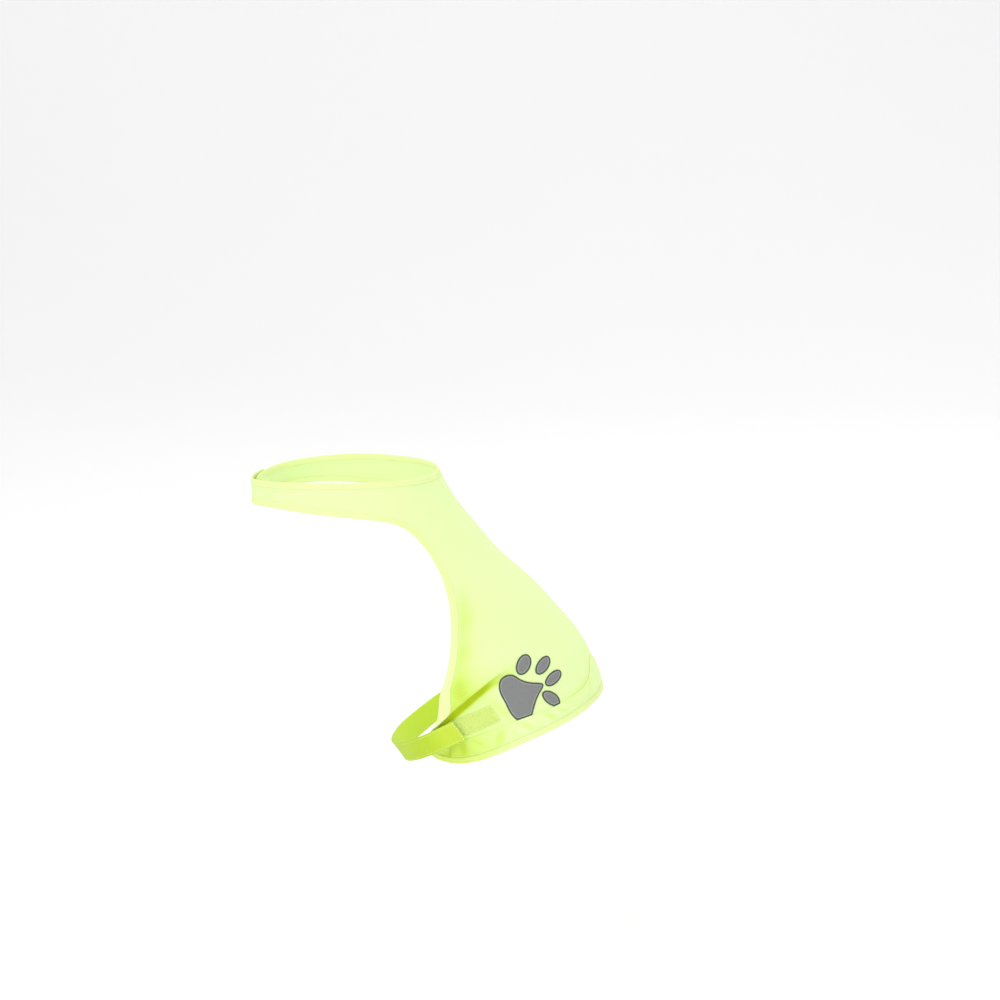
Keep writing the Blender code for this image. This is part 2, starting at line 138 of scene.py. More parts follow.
# Tension fold: around, along, rise
FOLD = (
    (122, 189, 0.0),
    (116, 186.5, 1.0),
    (110, 184, 2.8),
    (104, 181.5, 4.2),
    (93.6, 176.4, 5.4),
    (84.7, 171.6, 5.2),
    (76, 167.5, 4.0),
    (68.4, 164.5, 2.6),
    (60, 164, 0.6),
    (52, 164, 0.0),
)
FOLD_SPREAD = 17.0
FOLD_SHARPNESS = 1.2
FOLD_DROP = 3.0
FOLD_LEAN = 6.4
FOLD_LEAN_SPREAD = 4.6
RIGHT_FOLD_SHARE = 0.55

TROUGH_DEPTH = 1.7
TROUGH_INSET = 14.0
TROUGH_SPREAD = 6.0
TROUGH_ALONG = (85, 175)

# Belly strap, from its free end: around, along its middle, height of its inner face
STRAP_ROUTE = (
    (97.6, 192.2, 5.3),
    (106, 193.1, 5.3),
    (118, 194.6, 4.8),
    (132, 196.7, 3.1),
    (150, 198.5, 0.8),
    (180, 199.3, 0.3),
    (215, 198.5, 0.8),
    (232, 197.2, 3.3),
    (242, 196.5, 3.6),
    (262, 194.5, 3.5),
)
LOOP_PATCH_MIDDLE = 192.0
LOOP_PATCH_WIDTH = 15.5
LOOP_PATCH = (80.3, 101)
STRAP_HOOK = (99.6, 110)
STRAP_HOOK_WIDTH = 13.0

PAW_PLACE = (188.8, 63.8)
PAW_LEAN = 8.0
# Outline of the pad from its middle, round from its top towards the hem
# across, up
PAD = (
    (0, 18.8),
    (5.5, 11.6),
    (11.3, 4.9),
    (15.6, 1.2),
    (20, -3.5),
    (20, -10.5),
    (10, -14.8),
    (0, -14.3),
    (-9, -13),
    (-17, -8.2),
    (-19.8, -1.5),
    (-17.3, 3.6),
    (-12, 5.8),
    (-5.5, 11.8),
)
PAD_LEAN = -9.0
# across, up, lean towards the neck in degrees, half width, half length
TOES = (
    (-18.2, 18.5, 24, 5.0, 9.7),
    (-8.5, 30.0, 13, 4.5, 9.9),
    (4.5, 29.2, 3, 4.6, 9.5),
    (16.4, 17.0, -68, 5.2, 9.0),
)

# Soft creases of the panel; a positive rise is a ridge
# along and around at the start, along and around at the end, sideways bow, width, rise
CREASES = (
    (96, 44, 128, 58, 3.0, 5.0, -0.55),
    (104, 36, 140, 46, -3.0, 7.0, 0.45),
    (150, 96, 170, 74, 2.0, 6.0, 0.50),
    (160, 104, 176, 88, 1.5, 3.2, -0.55),
    (52, 40, 74, 48, 2.0, 5.0, -0.45),
    (46, 20, 58, 50, 3.0, 7.0, 0.40),
    (20, 62, 24, 92, 2.5, 4.5, -0.50),
    (14, 70, 18, 110, 2.0, 4.0, 0.40),
    (24, 104, 20, 140, -2.0, 4.0, -0.45),
    (150, 20, 186, 30, 4.0, 9.0, -0.50),
    (176, 38, 202, 40, 3.0, 7.0, 0.45),
    (186, 90, 200, 78, 2.0, 3.0, -0.30),
    (92, -46, 122, -56, -3.0, 5.0, -0.60),
    (110, -34, 138, -50, 3.0, 7.0, 0.50),
    (146, -98, 168, -76, -2.0, 6.0, 0.45),
    (158, -102, 180, -84, -1.5, 3.6, -0.60),
    (170, -92, 196, -70, 2.0, 5.0, 0.50),
    (188, -88, 206, -66, -2.0, 4.5, -0.55),
    (50, -38, 70, -50, -2.0, 5.0, -0.50),
    (48, -18, 62, -46, -3.0, 7.0, 0.40),
    (18, -58, 22, -96, -2.5, 4.5, -0.50),
    (22, -112, 18, -150, 2.0, 4.0, 0.40),
    (154, -22, 184, -34, -4.0, 9.0, -0.50),
    (64, -4, 100, 6, 4.0, 12.0, -0.35),
    (120, 2, 160, -6, -4.0, 12.0, -0.30),
)
# Puckers of the hem band: degrees round from the ridge, lean, width and depth in mm
PUCKERS = (
    (8, 3, 3.4, 0.35),
    (20, -4, 4.6, 0.45),
    (29, 5, 2.6, 0.40),
    (37.5, 2, 3.2, 0.42),
    (46.1, 6, 3.2, 0.66),
    (54.7, 4, 4.0, 0.80),
    (62, -2, 2.4, 0.32),
    (69.5, 5, 3.8, 0.80),
    (77, 3, 2.4, 0.36),
    (84.1, -4, 4.4, 0.85),
    (93, 4, 2.8, 0.40),
    (102, -2, 3.2, 0.34),
)
PUCKER_INSET = 13.0
BAND_MM_A_DEGREE = 1.55
# Spots where the cloth's creases lie close, darkened by painted shade
# along, around, half length and half width in mm, turn from the ridge's run in degrees, how much it darkens
SHADE_SPOTS = (
    (121.8, 61.2, 9.5, 3.6, 50, 0.12),
    (109.5, 55.2, 10.0, 3.6, 40, 0.10),
    (141.9, 73.0, 9.5, 4.4, 52, 0.17),
    (160.2, 85.0, 11.0, 5.0, 55, 0.16),
    (191.0, 77.4, 13.0, 3.4, -14, 0.30),
    (167.0, 85.0, 24.0, 12.0, 60, 0.36),
    (178.0, 102.0, 22.0, 10.0, 60, 0.18),
    (192.0, 96.0, 40.0, 22.0, 80, 0.14),
    (118.0, -58.0, 12.0, 4.2, -48, 0.22),
    (146.0, -76.0, 12.0, 4.6, -54, 0.22),
    (166.0, -84.0, 26.0, 12.0, -60, 0.28),
    (186.0, -70.0, 14.0, 4.0, 16, 0.24),
    (190.0, -94.0, 36.0, 22.0, -80, 0.14),
)
# How much painted shade darkens the cloth in the fold's wedge, on its crest, above the band's arch, in the
# trough, beside the front edge, towards the front corners, on the bindings there and on the strap.
# A pair of ranges is where it rises and where it falls, in degrees round or mm along.
WEDGE_SHADED = ((46, 90), (110, 122))
WEDGE_REACH = 5.0
WEDGE_REACH_ADDED = 3.2
WEDGE_NARROWS = (64, 84)
CREST_SHADE = 0.24
ARCH_SHADE = 0.30
ARCH_SHADED = ((1, 9), (34, 52))
TROUGH_SHADE = 0.04
EDGE_SHADE = 0.22
EDGE_SHADED = ((86, 122), (184, 204))
FRONT_SHADE = 0.75
FRONT_SHADED_AROUND = (70, 112)
FRONT_SHADED_ALONG = (196, 210)
BINDING_SHADE = 0.5
BINDING_SHADE_ALONG = (196, 212)
STRAP_SHADE = 0.4
STRAP_SHADED = ((102, 118), (150, 180))
# Gathers at a seam: pitch in mm, phase and share
RIPPLES = ((9.3, 0.0, 1.0), (13.7, 1.9, 0.8), (6.1, 4.1, 0.45))


class Curve:
    """The natural cubic spline through points, going on straight beyond its ends."""

    def __init__(self, places, values):
        self.places = np.array(places, float)
        self.values = np.array(values, float)
        steps = np.diff(self.places)
        slopes = np.diff(self.values) / steps
        size = len(self.places)
        matrix = np.eye(size)
        right = np.zeros(size)
        for k in range(1, size - 1):
            matrix[k, k - 1 : k + 2] = steps[k - 1], 2 * (steps[k - 1] + steps[k]), steps[k]
            right[k] = 6 * (slopes[k] - slopes[k - 1])
        self.bends = np.linalg.solve(matrix, right)
        self.start_slope = slopes[0] - steps[0] * self.bends[1] / 6
        self.end_slope = slopes[-1] + steps[-1] * self.bends[-2] / 6

    def __call__(self, place):
        first, last = self.places[0], self.places[-1]
        inside = np.clip(place, first, last)
        k = np.clip(np.searchsorted(self.places, inside, side="right") - 1, 0, len(self.places) - 2)
        step = self.places[k + 1] - self.places[k]
        before = inside - self.places[k]
        after = self.places[k + 1] - inside
        bent = (self.bends[k] * after**3 + self.bends[k + 1] * before**3) / (6 * step)
        line = (self.values[k] * after + self.values[k + 1] * before) / step
        pull = step * (self.bends[k] * after + self.bends[k + 1] * before) / 6
        beyond = self.start_slope * np.minimum(place - first, 0) + self.end_slope * np.maximum(place - last, 0)
        return bent + line - pull + beyond


def columns(table):
    return [list(column) for column in zip(*table)]


def smooth_step(low, high, value):
    part = np.clip((value - low) / (high - low), 0.0, 1.0)
    return part * part * (3 - 2 * part)


def risen(rises, falls, value):
    """From 0 up to 1 over the first range, and back to 0 over the second."""
    return smooth_step(*rises, value) * (1 - smooth_step(*falls, value))


def bump(distance, spread):
    return np.exp(-((distance / spread) ** 2))


def mixed(start, end, share):
    return start + (end - start) * share


def length_of(vectors):
    return np.sqrt((vectors**2).sum(-1))


def unit(vectors):
    return vectors / np.maximum(length_of(vectors), 1e-12)[..., None]


STATIONS, *TORSO_VALUES = columns(TORSO)
TORSO_CURVES = [Curve(STATIONS, values) for values in TORSO_VALUES]
FOLD_AROUND, FOLD_ALONG, FOLD_RISE = columns(sorted(FOLD))
fold_line = Curve(FOLD_AROUND, FOLD_ALONG)
fold_rise = Curve(FOLD_AROUND, FOLD_RISE)
OUTLINE_ALONG, OUTLINE_AROUND = columns(OUTLINE)
front_edge = Curve(OUTLINE_ALONG[SHOULDER:CORNER], OUTLINE_AROUND[SHOULDER:CORNER])
STRAP_TURNS, STRAP_MIDDLES, STRAP_HEIGHTS = columns(STRAP_ROUTE)
strap_middle = Curve(STRAP_TURNS, STRAP_MIDDLES)
strap_height = Curve(STRAP_TURNS, STRAP_HEIGHTS)
band_top = Curve(*columns(BAND_TOP))
HEM_AROUND, HEM_ALONG = columns(sorted((around, along) for along, around in OUTLINE[CORNER:]))


def hem_along(around):
    return np.interp(around, HEM_AROUND, HEM_ALONG)
def torso(along, around):
    """Points of the torso in mm."""
    ridge_x, ridge_z, tilt, depth, width = (curve(along) for curve in TORSO_CURVES)
    angle = np.radians(around)
    down = np.sign(np.cos(angle)) * np.abs(np.cos(angle)) ** (2 / SECTION_POWER)
    out = np.sign(np.sin(angle)) * np.abs(np.sin(angle)) ** (2 / SECTION_POWER)
    reach = depth / 2 * (1 - down)
    lean = np.radians(tilt)
    return np.stack([ridge_x - reach * np.cos(lean), -out * width / 2, ridge_z - reach * np.sin(lean)], -1)


def slopes_at(along, around):
    """How far the torso's points move for 1 mm along and for 1 degree round."""
    step = 0.25
    by_along = (torso(along + step, around) - torso(along - step, around)) / (2 * step)
    by_around = (torso(along, around + step) - torso(along, around - step)) / (2 * step)
    return by_along, by_around


def directions(along, around):
    """Outwards, and along towards the hem, as unit vectors."""
    by_along, by_around = slopes_at(along, around)
    return unit(np.cross(by_around, by_along)), unit(by_along)


def fold_share(along, around):
    """How much of the tension fold each side of the body has, and none beyond the fold's ends."""
    turn = np.abs(around)
    within = (turn > FOLD_AROUND[0]) & (turn < FOLD_AROUND[-1]) & (along > OUTLINE_ALONG[SHOULDER])
    return np.where(within, np.where(around > 0, 1.0, RIGHT_FOLD_SHARE), 0.0)


def fold(along, around):
    """The tension fold's rise, and how far it leans over towards the hem."""
    turn = np.abs(around)
    rise = np.maximum(fold_rise(turn), 0.0) * fold_share(along, around)
    lean = FOLD_LEAN * rise / max(FOLD_RISE)
    past = along - fold_line(turn) + lean
    above = np.exp(-np.abs(np.minimum(past, 0) / FOLD_SPREAD) ** FOLD_SHARPNESS)
    below = bump(np.maximum(past, 0), FOLD_DROP)
    return rise * above * below, lean * bump(past, FOLD_LEAN_SPREAD)


def from_front(along, around):
    """How far in mm a place is from the front edge."""
    turn = np.abs(around)
    return (front_edge(along) - turn) * length_of(slopes_at(along, turn)[1])


def trough(along, around):
    start, end = TROUGH_ALONG
    share = risen((start, start + 25), (end - 25, end), along)
    return -TROUGH_DEPTH * share * bump(from_front(along, around) - TROUGH_INSET, TROUGH_SPREAD)


def towards_corner(around):
    """How near a place along the hem is to its front corners, from 0 to 1."""
    return smooth_step(*FRONT_SHADED_AROUND, np.abs(around))


def painted_shade(along, around):
    """How much painted shade darkens a place on the cloth, from 0 to 1: under and above the tension fold's crest, in
    the listed spots, above the band's arch, in the trough, beside the front edge and towards the front corners.
    """
    turn = np.abs(around)
    share = risen(*WEDGE_SHADED, turn) * fold_share(along, around)
    past = along - fold_line(turn)
    reach = WEDGE_REACH + WEDGE_REACH_ADDED * (1 - smooth_step(*WEDGE_NARROWS, turn))
    depth = share * risen((-0.6, 0.9), (reach - 2.2, reach + 2.6), past)
    depth = depth + CREST_SHADE * share * bump(past + 1.0, 5.0) * (past < 0.9)
    for at_along, at_around, half_length, half_width, lean, amount in SHADE_SPOTS:
        by_along, by_around = (float(length_of(x)) for x in slopes_at(*np.array([at_along, at_around], float)))
        run = (along - at_along) * by_along
        aside = (around - at_around) * by_around
        cos, sin = math.cos(math.radians(lean)), math.sin(math.radians(lean))
        depth = depth + amount * bump(run * cos + aside * sin, half_length) * bump(aside * cos - run * sin, half_width)
    over_band = hem_along(turn) - along - band_top(turn)
    depth = depth + ARCH_SHADE * bump(over_band - 1.2, 2.6) * risen(*ARCH_SHADED, turn)
    depth = depth - TROUGH_SHADE * trough(along, around)
    beside = bump(np.maximum(from_front(along, around) - 7, 0), 13)
    depth = depth + EDGE_SHADE * beside * risen(*EDGE_SHADED, along)
    depth = depth + FRONT_SHADE * towards_corner(around) * smooth_step(*FRONT_SHADED_ALONG, along)
    return np.where(along > OUTLINE_ALONG[SHOULDER], np.clip(depth, 0.0, 1.0), 0.0)


def creases(along, around):
    """The panel's soft troughs and ridges, each along a bowed line that fades at both ends."""
    height = np.zeros(np.shape(along))
    for from_along, from_around, to_along, to_around, bow, width, rise in CREASES:
        by_along, by_around = slopes_at(*np.array([(from_along + to_along) / 2, (from_around + to_around) / 2]))
        scale = np.array([length_of(by_along), length_of(by_around)])
        run = (np.array([to_along - from_along, to_around - from_around])) * scale
        size = math.hypot(*run)
        right = (along - from_along) * scale[0]
        up = (around - from_around) * scale[1]
        place = (right * run[0] + up * run[1]) / size**2
        aside = (up * run[0] - right * run[1]) / size
        part = np.clip(place, 0, 1)
        aside = aside - bow * 4 * part * (1 - part)
        height += rise * bump(aside, width) * np.sin(np.pi * part) ** 1.3
    return height


def drift(along, around):
    """Very slow waves, so that no part of the cloth is ruled."""
    slow = 0.22 * np.sin(along / 15 + np.sin(around / 21) * 1.3) * np.sin(around / 17 + 0.7)
    return slow + 0.14 * np.sin(along / 8.3 - around / 14 + 2.1) * np.sin(along / 29 + around / 11)


def surface(along, around, height=0.0):
    """Points in mm at a height over the cloth's inner face."""
    along, around, height = np.broadcast_arrays(*(np.asarray(x, float) for x in (along, around, height)))
    turn = np.abs(around)
    body = (turn < LAP_RISE[0]) & (along > OUTLINE_ALONG[SHOULDER])
    rise, lean = fold(along, around)
    lap = (around > 0) & (along < OUTLINE_ALONG[SHOULDER])
    rise = rise + np.where(body, trough(along, around), 0.0)
    rise = rise + np.where(lap, LAP_HEIGHT * smooth_step(*LAP_RISE, around), 0.0)
    calm = 1 - smooth_step(LAP_RISE[0] - 25, LAP_RISE[0], turn)
    rise = rise + calm * (creases(along, around) + drift(along, around))
    outwards, towards_hem = directions(along, around)
    return torso(along, around) + (rise + height)[..., None] * outwards + lean[..., None] * towards_hem


class Edge:
    """A smooth line on the torso with the cloth on one side, read by a fraction from 0 to 1."""

    def __init__(self, table, cloth_side):
        points = torso(*np.array(table, float).T)
        places = np.concatenate([[0.0], np.cumsum(length_of(np.diff(points, axis=0)))])
        self.length = places[-1]
        self.places = places / self.length
        self.along = Curve(self.places, [row[0] for row in table])
        self.around = Curve(self.places, [row[1] for row in table])
        self.cloth_side = cloth_side

    def point(self, fraction, inset=0.0):
        """Along and around at a fraction, moved in mm square to the line into the cloth."""
        fraction = np.asarray(fraction, float)
        along = self.along(fraction)
        around = self.around(fraction)
        step = 0.002
        by_along, by_around = (length_of(slope) for slope in slopes_at(along, around))
        run = (self.along(fraction + step) - self.along(fraction - step)) * by_along
        turn = (self.around(fraction + step) - self.around(fraction - step)) * by_around
        size = self.cloth_side * inset / np.hypot(run, turn)
        return along + turn * size / by_along, around - run * size / by_around

    def fraction_at(self, around, low, high, inset=0.0):
        """Where the moved line passes an angle, found by halving between two fractions."""
        low = np.full(np.shape(around), low, float)
        high = np.full(np.shape(around), high, float)
        for _ in range(40):
            middle = (low + high) / 2
            past = self.point(middle, inset)[1] > around
            low = np.where(past, middle, low)
            high = np.where(past, high, middle)
        return (low + high) / 2


OUTLINE_EDGE = Edge(OUTLINE, 1)
NECK_LINE = Edge([(along, around) for around, along in reversed(NECK_EDGE)], -1)
SHOULDER_AT = OUTLINE_EDGE.places[SHOULDER]
FRONT_END_AT = OUTLINE_EDGE.places[FRONT_END]
CORNER_AT = OUTLINE_EDGE.places[CORNER]
BAND_END_AT = OUTLINE_EDGE.places[BAND_END]


def neck_inset(around, inset):
    """How far along the cloth of the neck begins at an angle."""
    return NECK_LINE.point(NECK_LINE.fraction_at(around, 0.0, 1.0, inset), inset)[0]


def across_ridge(left_start, right_start, out):
    """The fraction on an edge and the side of the body, from the right start over the ridge to the left."""
    turned = 2 * np.asarray(out) - 1
    start = np.where(turned > 0, left_start, right_start)
    return mixed(1.0, start, np.abs(turned)), np.where(turned >= 0, 1.0, -1.0)


# Making meshes


def deselect():
    for thing in bpy.context.selected_objects:
        thing.select_set(False)


def make_active(piece):
    deselect()
    piece.select_set(True)
    bpy.context.view_layer.objects.active = piece


def linked(name, data):
    holder = bpy.data.objects.new(name, data)
    bpy.context.scene.collection.objects.link(holder)
    return holder


def section_of(table):
    """The two columns of a section's table, each as a row of values."""
    return (np.array(column)[None, :] for column in columns(table))


@contextmanager
def opened(mesh):
    """The mesh's shape to edit, written back at the end."""
    shape = bmesh.new()
    shape.from_mesh(mesh)
    yield shape
    shape.to_mesh(mesh)
    shape.free()


def new_piece(name, points, faces, cloth_map, finish, painted_shades=None, weld=0.0):
    """An object from points in mm, faces, and for each face its corners' places on the cloth in cm."""
    mesh = bpy.data.meshes.new(name)
    mesh.from_pydata((np.asarray(points).reshape(-1, 3) * MM).tolist(), [], faces)
    layer = mesh.uv_layers.new(name="Cloth")
    layer.uv.foreach_set("vector", np.asarray(cloth_map, np.float32).reshape(-1))
    # Painted shade for each point, which darkens the colour of its finish
    if painted_shades is not None:
        shade_values = mesh.attributes.new("Hollow", "FLOAT", "POINT")
        shade_values.data.foreach_set("value", np.asarray(painted_shades, np.float32))
    piece = linked(name, mesh)
    if weld:
        with opened(mesh) as shape:
            bmesh.ops.remove_doubles(shape, verts=shape.verts, dist=weld * MM)
    mesh.materials.append(finish)
    mesh.shade_smooth()
    return piece


def grid_faces(rows, across, first=0):
    """Quads of a grid of points, turned outwards where rows run towards the hem and columns to the left."""
    corner = first + (np.arange(rows)[:, None] * (across + 1) + np.arange(across)[None, :])
    return np.stack([corner, corner + 1, corner + across + 2, corner + across + 1], -1).reshape(-1, 4)


def thicken(piece, thickness, rounding=0.0):
    """Gives an open sheet its wall, inwards from the outer face."""
    make_active(piece)
    wall = piece.modifiers.new("Wall", "SOLIDIFY")
    wall.thickness = thickness * MM
    wall.offset = -1.0
    wall.use_even_offset = True
    bpy.ops.object.modifier_apply(modifier=wall.name)
    if rounding:
        soft = piece.modifiers.new("Rounding", "BEVEL")
        soft.width = rounding * MM
        soft.segments = 2
        soft.limit_method = "ANGLE"
        soft.angle_limit = math.radians(60)
        bpy.ops.object.modifier_apply(modifier=soft.name)
    piece.data.shade_smooth()
    return piece


def sheet_of(name, patches, finish, thickness, rounding=0.0):
    """A walled sheet from patches of points, each with its cloth map and painted shade, welded where they meet."""
    points, faces, cloth_map, painted_shades, first = [], [], [], [], 0
    for spread, places, shade_values in patches:
        rows, across = spread.shape[0] - 1, spread.shape[1] - 1
        quads = grid_faces(rows, across)
        points.append(spread.reshape(-1, 3))
        painted_shades.append(shade_values.reshape(-1))
        cloth_map.append(places.reshape(-1, 2)[quads].reshape(-1, 2))
        faces.extend((quads + first).tolist())
        first += points[-1].shape[0]
    painted_shades = np.concatenate(painted_shades)
    piece = new_piece(name, np.concatenate(points), faces, np.concatenate(cloth_map), finish, painted_shades, weld=0.02)
    return thicken(piece, thickness, rounding)


def running_length(points, axis):
    """Distance run along one axis of a grid of points."""
    steps = length_of(np.diff(points, axis=axis))
    start = np.zeros_like(np.take(steps, [0], axis=axis))
    return np.concatenate([start, np.cumsum(steps, axis=axis)], axis=axis)


def swept(name, points, finish, painted_shades=None):
    """A closed body from rings of points in mm, each ring one section, with both ends capped."""
    count, around = points.shape[0] - 1, points.shape[1]
    near = np.arange(around)
    after = (near + 1) % around
    start = (np.arange(count) * around)[:, None]
    quads = np.stack([start + near, start + after, start + around + after, start + around + near], -1)
    ring = np.concatenate([points, points[:, :1]], 1)
    run = running_length(ring, 1).mean(0) / 10
    length = running_length(points, 0).mean(1) / 10
    u_near, u_after = run[:-1], run[1:]
    corners = [
        np.stack(np.broadcast_arrays(u, v[:, None]), -1)
        for u, v in ((u_near, length[:-1]), (u_after, length[:-1]), (u_after, length[1:]), (u_near, length[1:]))
    ]
    faces = quads.reshape(-1, 4).tolist()
    faces.append(list(range(around)))
    faces.append([count * around + k for k in range(around)])
    cloth_map = np.stack(corners, 2).reshape(-1, 2)
    caps = [np.stack([u_near, np.full(around, end)], -1) for end in (length[0], length[-1])]
    painted_shades = None if painted_shades is None else painted_shades.reshape(-1)
    piece = new_piece(name, points, faces, np.concatenate([cloth_map, *caps]), finish, painted_shades)
    with opened(piece.data) as shape:
        bmesh.ops.recalc_face_normals(shape, faces=shape.faces)
    piece.data.shade_smooth()
    return piece


def tube_faces(count, rings):
    """Faces of many four-sided tubes, each of some rings and closed at both ends."""
    last = 4 * (rings - 1)
    one = [[0, 3, 2, 1], [last, last + 1, last + 2, last + 3]]
    for ring in range(0, last, 4):
        for side in range(4):
            after = (side + 1) % 4
            one.append([ring + side, ring + after, ring + 4 + after, ring + 4 + side])
    return (np.arange(count)[:, None, None] * 4 * rings + np.array(one)[None]).reshape(-1, 4)


def tree_of(points):
    """A search tree that finds the nearest of the points."""
    tree = KDTree(len(points))
    for number, point in enumerate(points):
        tree.insert(point, number)
    tree.balance()
    return tree


def raised_path(along, around, height):
    """A path on the cloth for a row of stitches: its points and outward directions."""
    return surface(along, around, height), directions(along, around)[0]


def stitch_line(path, thread):
    """Points and faces of a row of stitches along a path of (points, outwards), all in mm."""
    line, outwards = path
    width, height = thread.width, thread.rise
    run = running_length(line, 0)
    count = max(int(run[-1] // (thread.stitch + thread.space)), 1)
    middles = (np.arange(count) + 0.5) * run[-1] / count
    found = []
    for offset in (-0.5, -0.25, 0.0, 0.25, 0.5):
        at = np.clip(middles + offset * thread.stitch, 0, run[-1])
        found.append(np.stack([np.interp(at, run, line[:, k]) for k in range(3)], -1))
    up = unit(np.stack([np.interp(middles, run, outwards[:, k]) for k in range(3)], -1))
    ahead = unit(found[-1] - found[0])
    aside = np.cross(up, ahead)
    rings = []
    for centre, wide, high in zip(found, (0.45, 0.9, 1.0, 0.9, 0.45), (-0.55, 0.25, 0.5, 0.25, -0.55)):
        rings += [
            centre + aside * width / 2 * wide + up * height * (high - 0.35),
            centre + up * height * (high + 0.35 * wide),
            centre - aside * width / 2 * wide + up * height * (high - 0.35),
            centre + up * height * (high - 0.8),
        ]
    return np.stack(rings, 1).reshape(-1, 3), tube_faces(count, len(found))


def sewn(name, paths, thread):
    """All the stitches of a piece in one mesh."""
    points, faces, first = [], [], 0
    for path in paths:
        row_points, row_faces = stitch_line(path, thread)
        points.append(row_points)
        faces.extend((row_faces + first).tolist())
        first += len(row_points)
    points = np.concatenate(points)
    cloth_map = points[np.array(faces).reshape(-1)][:, :2] / 10
    return new_piece(name, points, faces, cloth_map, sewing_thread())


class Thread:
    """Sizes of a sewn row in mm, from the settings."""

    def __init__(self, share=1.0):
        sizes = settings()[1]
        self.stitch = sizes.stitch_length / MM * share
        self.space = self.stitch * 0.28
        self.width = sizes.thread_width / MM
        self.rise = self.width * 0.55


# Finishes


FLOAT = "NodeSocketFloat"
COLOUR = "NodeSocketColor"
CLOTH_ROUGHNESS = 0.82
NAP_SCALE = 1400.0
# Share of each primary colour kept under drift and painted shade, and under the deepest painted shade beyond that
DRIFT_AND_SHADE_TINT = (0.76, 0.92, 0.02)
DEEPEST_SHADE_TINT = (0.74, 0.66, 0.6, 1.0)
# Depth from the paw's rim in cm where its dark edge, its pale line of painted highlight and grey begin and end; along
# the cut under the hem band the dark edge is painted shadow
FILM_STOPS = ((0.105, "border"), (0.135, "line"), (0.175, "line"), (0.22, "paw"))


class Nodes:
    """Adds nodes to a tree; an input takes a value or another node's output."""

    def __init__(self, tree):
        self.tree = tree

    def put(self, place, value):
        if isinstance(value, bpy.types.NodeSocket):
            self.tree.links.new(value, place)
        else:
            place.default_value = value

    def add(self, kind, inputs=None, **traits):
        node = self.tree.nodes.new(kind)
        for trait, value in traits.items():
            setattr(node, trait, value)
        for name, value in (inputs or {}).items():
            self.put(node.inputs[name], value)
        return node

    def calc(self, operation, *values, clamp=False):
        inputs = dict(enumerate(values))
        return self.add("ShaderNodeMath", inputs, operation=operation, use_clamp=clamp).outputs[0]

    def plus(self, first, second):
        return self.calc("ADD", first, second)

    def minus(self, first, second):
        return self.calc("SUBTRACT", first, second)

    def times(self, first, second):
        return self.calc("MULTIPLY", first, second)

    def noise(self, vector, scale, detail=2.0, roughness=0.5):
        inputs = {"Scale": scale, "Detail": detail, "Roughness": roughness, "Vector": vector}
        return self.add("ShaderNodeTexNoise", inputs).outputs["Fac"]

    def cells(self, vector, scale):
        return self.add("ShaderNodeTexVoronoi", {"Scale": scale, "Vector": vector}).outputs["Distance"]

    def mix(self, factor, first, second, blend="MIX"):
        inputs = {"Factor": factor, "A": first, "B": second}
        return self.add("ShaderNodeMix", inputs, data_type="RGBA", blend_type=blend).outputs["Result"]

    def scaled(self, value, low, high):
        inputs = {"Value": value, "To Min": low, "To Max": high}
        return self.add("ShaderNodeMapRange", inputs).outputs["Result"]

    def bump(self, height, distance, strength=1.0):
        inputs = {"Strength": strength, "Distance": distance, "Height": height}
        return self.add("ShaderNodeBump", inputs).outputs["Normal"]

    def on_object(self):
        return self.add("ShaderNodeTexCoord").outputs["Object"]

    def on_cloth(self):
        """The place on the cloth, and its two parts."""
        place = self.add("ShaderNodeUVMap", uv_map="Cloth").outputs["UV"]
        return place, self.add("ShaderNodeSeparateXYZ", {0: place}).outputs


def new_group(name, inputs, outputs):
    """A shader node group with its given inputs and made outputs."""
    group = bpy.data.node_groups.new(name, "ShaderNodeTree")
    for label, value in inputs.items():
        kind = COLOUR if isinstance(value, tuple) else FLOAT
        group.interface.new_socket(name=label, in_out="INPUT", socket_type=kind).default_value = value
    for label, kind in outputs.items():
        group.interface.new_socket(name=label, in_out="OUTPUT", socket_type=kind)
    nodes = Nodes(group)
    return nodes, nodes.add("NodeGroupInput").outputs, nodes.add("NodeGroupOutput").inputs


def knit_group():
    """Rows of tiny loops that follow the cloth: a height, and a mask for painted shade between the loops."""
    nodes, given, made = new_group("Knit", {"Pitch": 0.06, "Wander": 0.3}, {"Height": FLOAT, "Loops": FLOAT})
    place, part = nodes.on_cloth()
    shift = nodes.times(nodes.minus(nodes.noise(place, 9.0), 0.5), given["Wander"])
    rate = nodes.calc("DIVIDE", 2 * math.pi, given["Pitch"])
    along = nodes.plus(nodes.times(part["X"], rate), nodes.times(shift, 20.0))
    rows = nodes.calc("SINE", nodes.times(along, 0.75))
    across = nodes.plus(nodes.times(part["Y"], rate), nodes.times(rows, 0.6))
    ribs = nodes.calc("ABSOLUTE", nodes.calc("SINE", nodes.times(across, 0.5)))
    loops = nodes.times(nodes.plus(nodes.times(rows, 0.35), 0.65), ribs)
    nodes.put(made["Height"], nodes.plus(loops, nodes.times(nodes.noise(place, 90.0, 3.0, 0.6), 0.5)))
    nodes.put(made["Loops"], loops)
    return nodes.tree


def weave_group():
    """Fine crossing yarns that follow the cloth."""
    nodes, given, made = new_group("Weave", {"Pitch": 0.05, "Rib": 1.0}, {"Height": FLOAT, "Yarns": FLOAT})
    place, part = nodes.on_cloth()
    rate = nodes.calc("DIVIDE", math.pi, given["Pitch"])
    warp = nodes.calc("SINE", nodes.times(nodes.times(part["X"], rate), given["Rib"]))
    weft = nodes.calc("SINE", nodes.times(part["Y"], rate))
    yarns = nodes.plus(nodes.times(nodes.times(warp, weft), 0.5), 0.5)
    nodes.put(made["Height"], nodes.plus(yarns, nodes.times(nodes.noise(place, 70.0, 3.0, 0.6), 0.35)))
    # The yarns also mask painted shade between them
    nodes.put(made["Yarns"], yarns)
    return nodes.tree


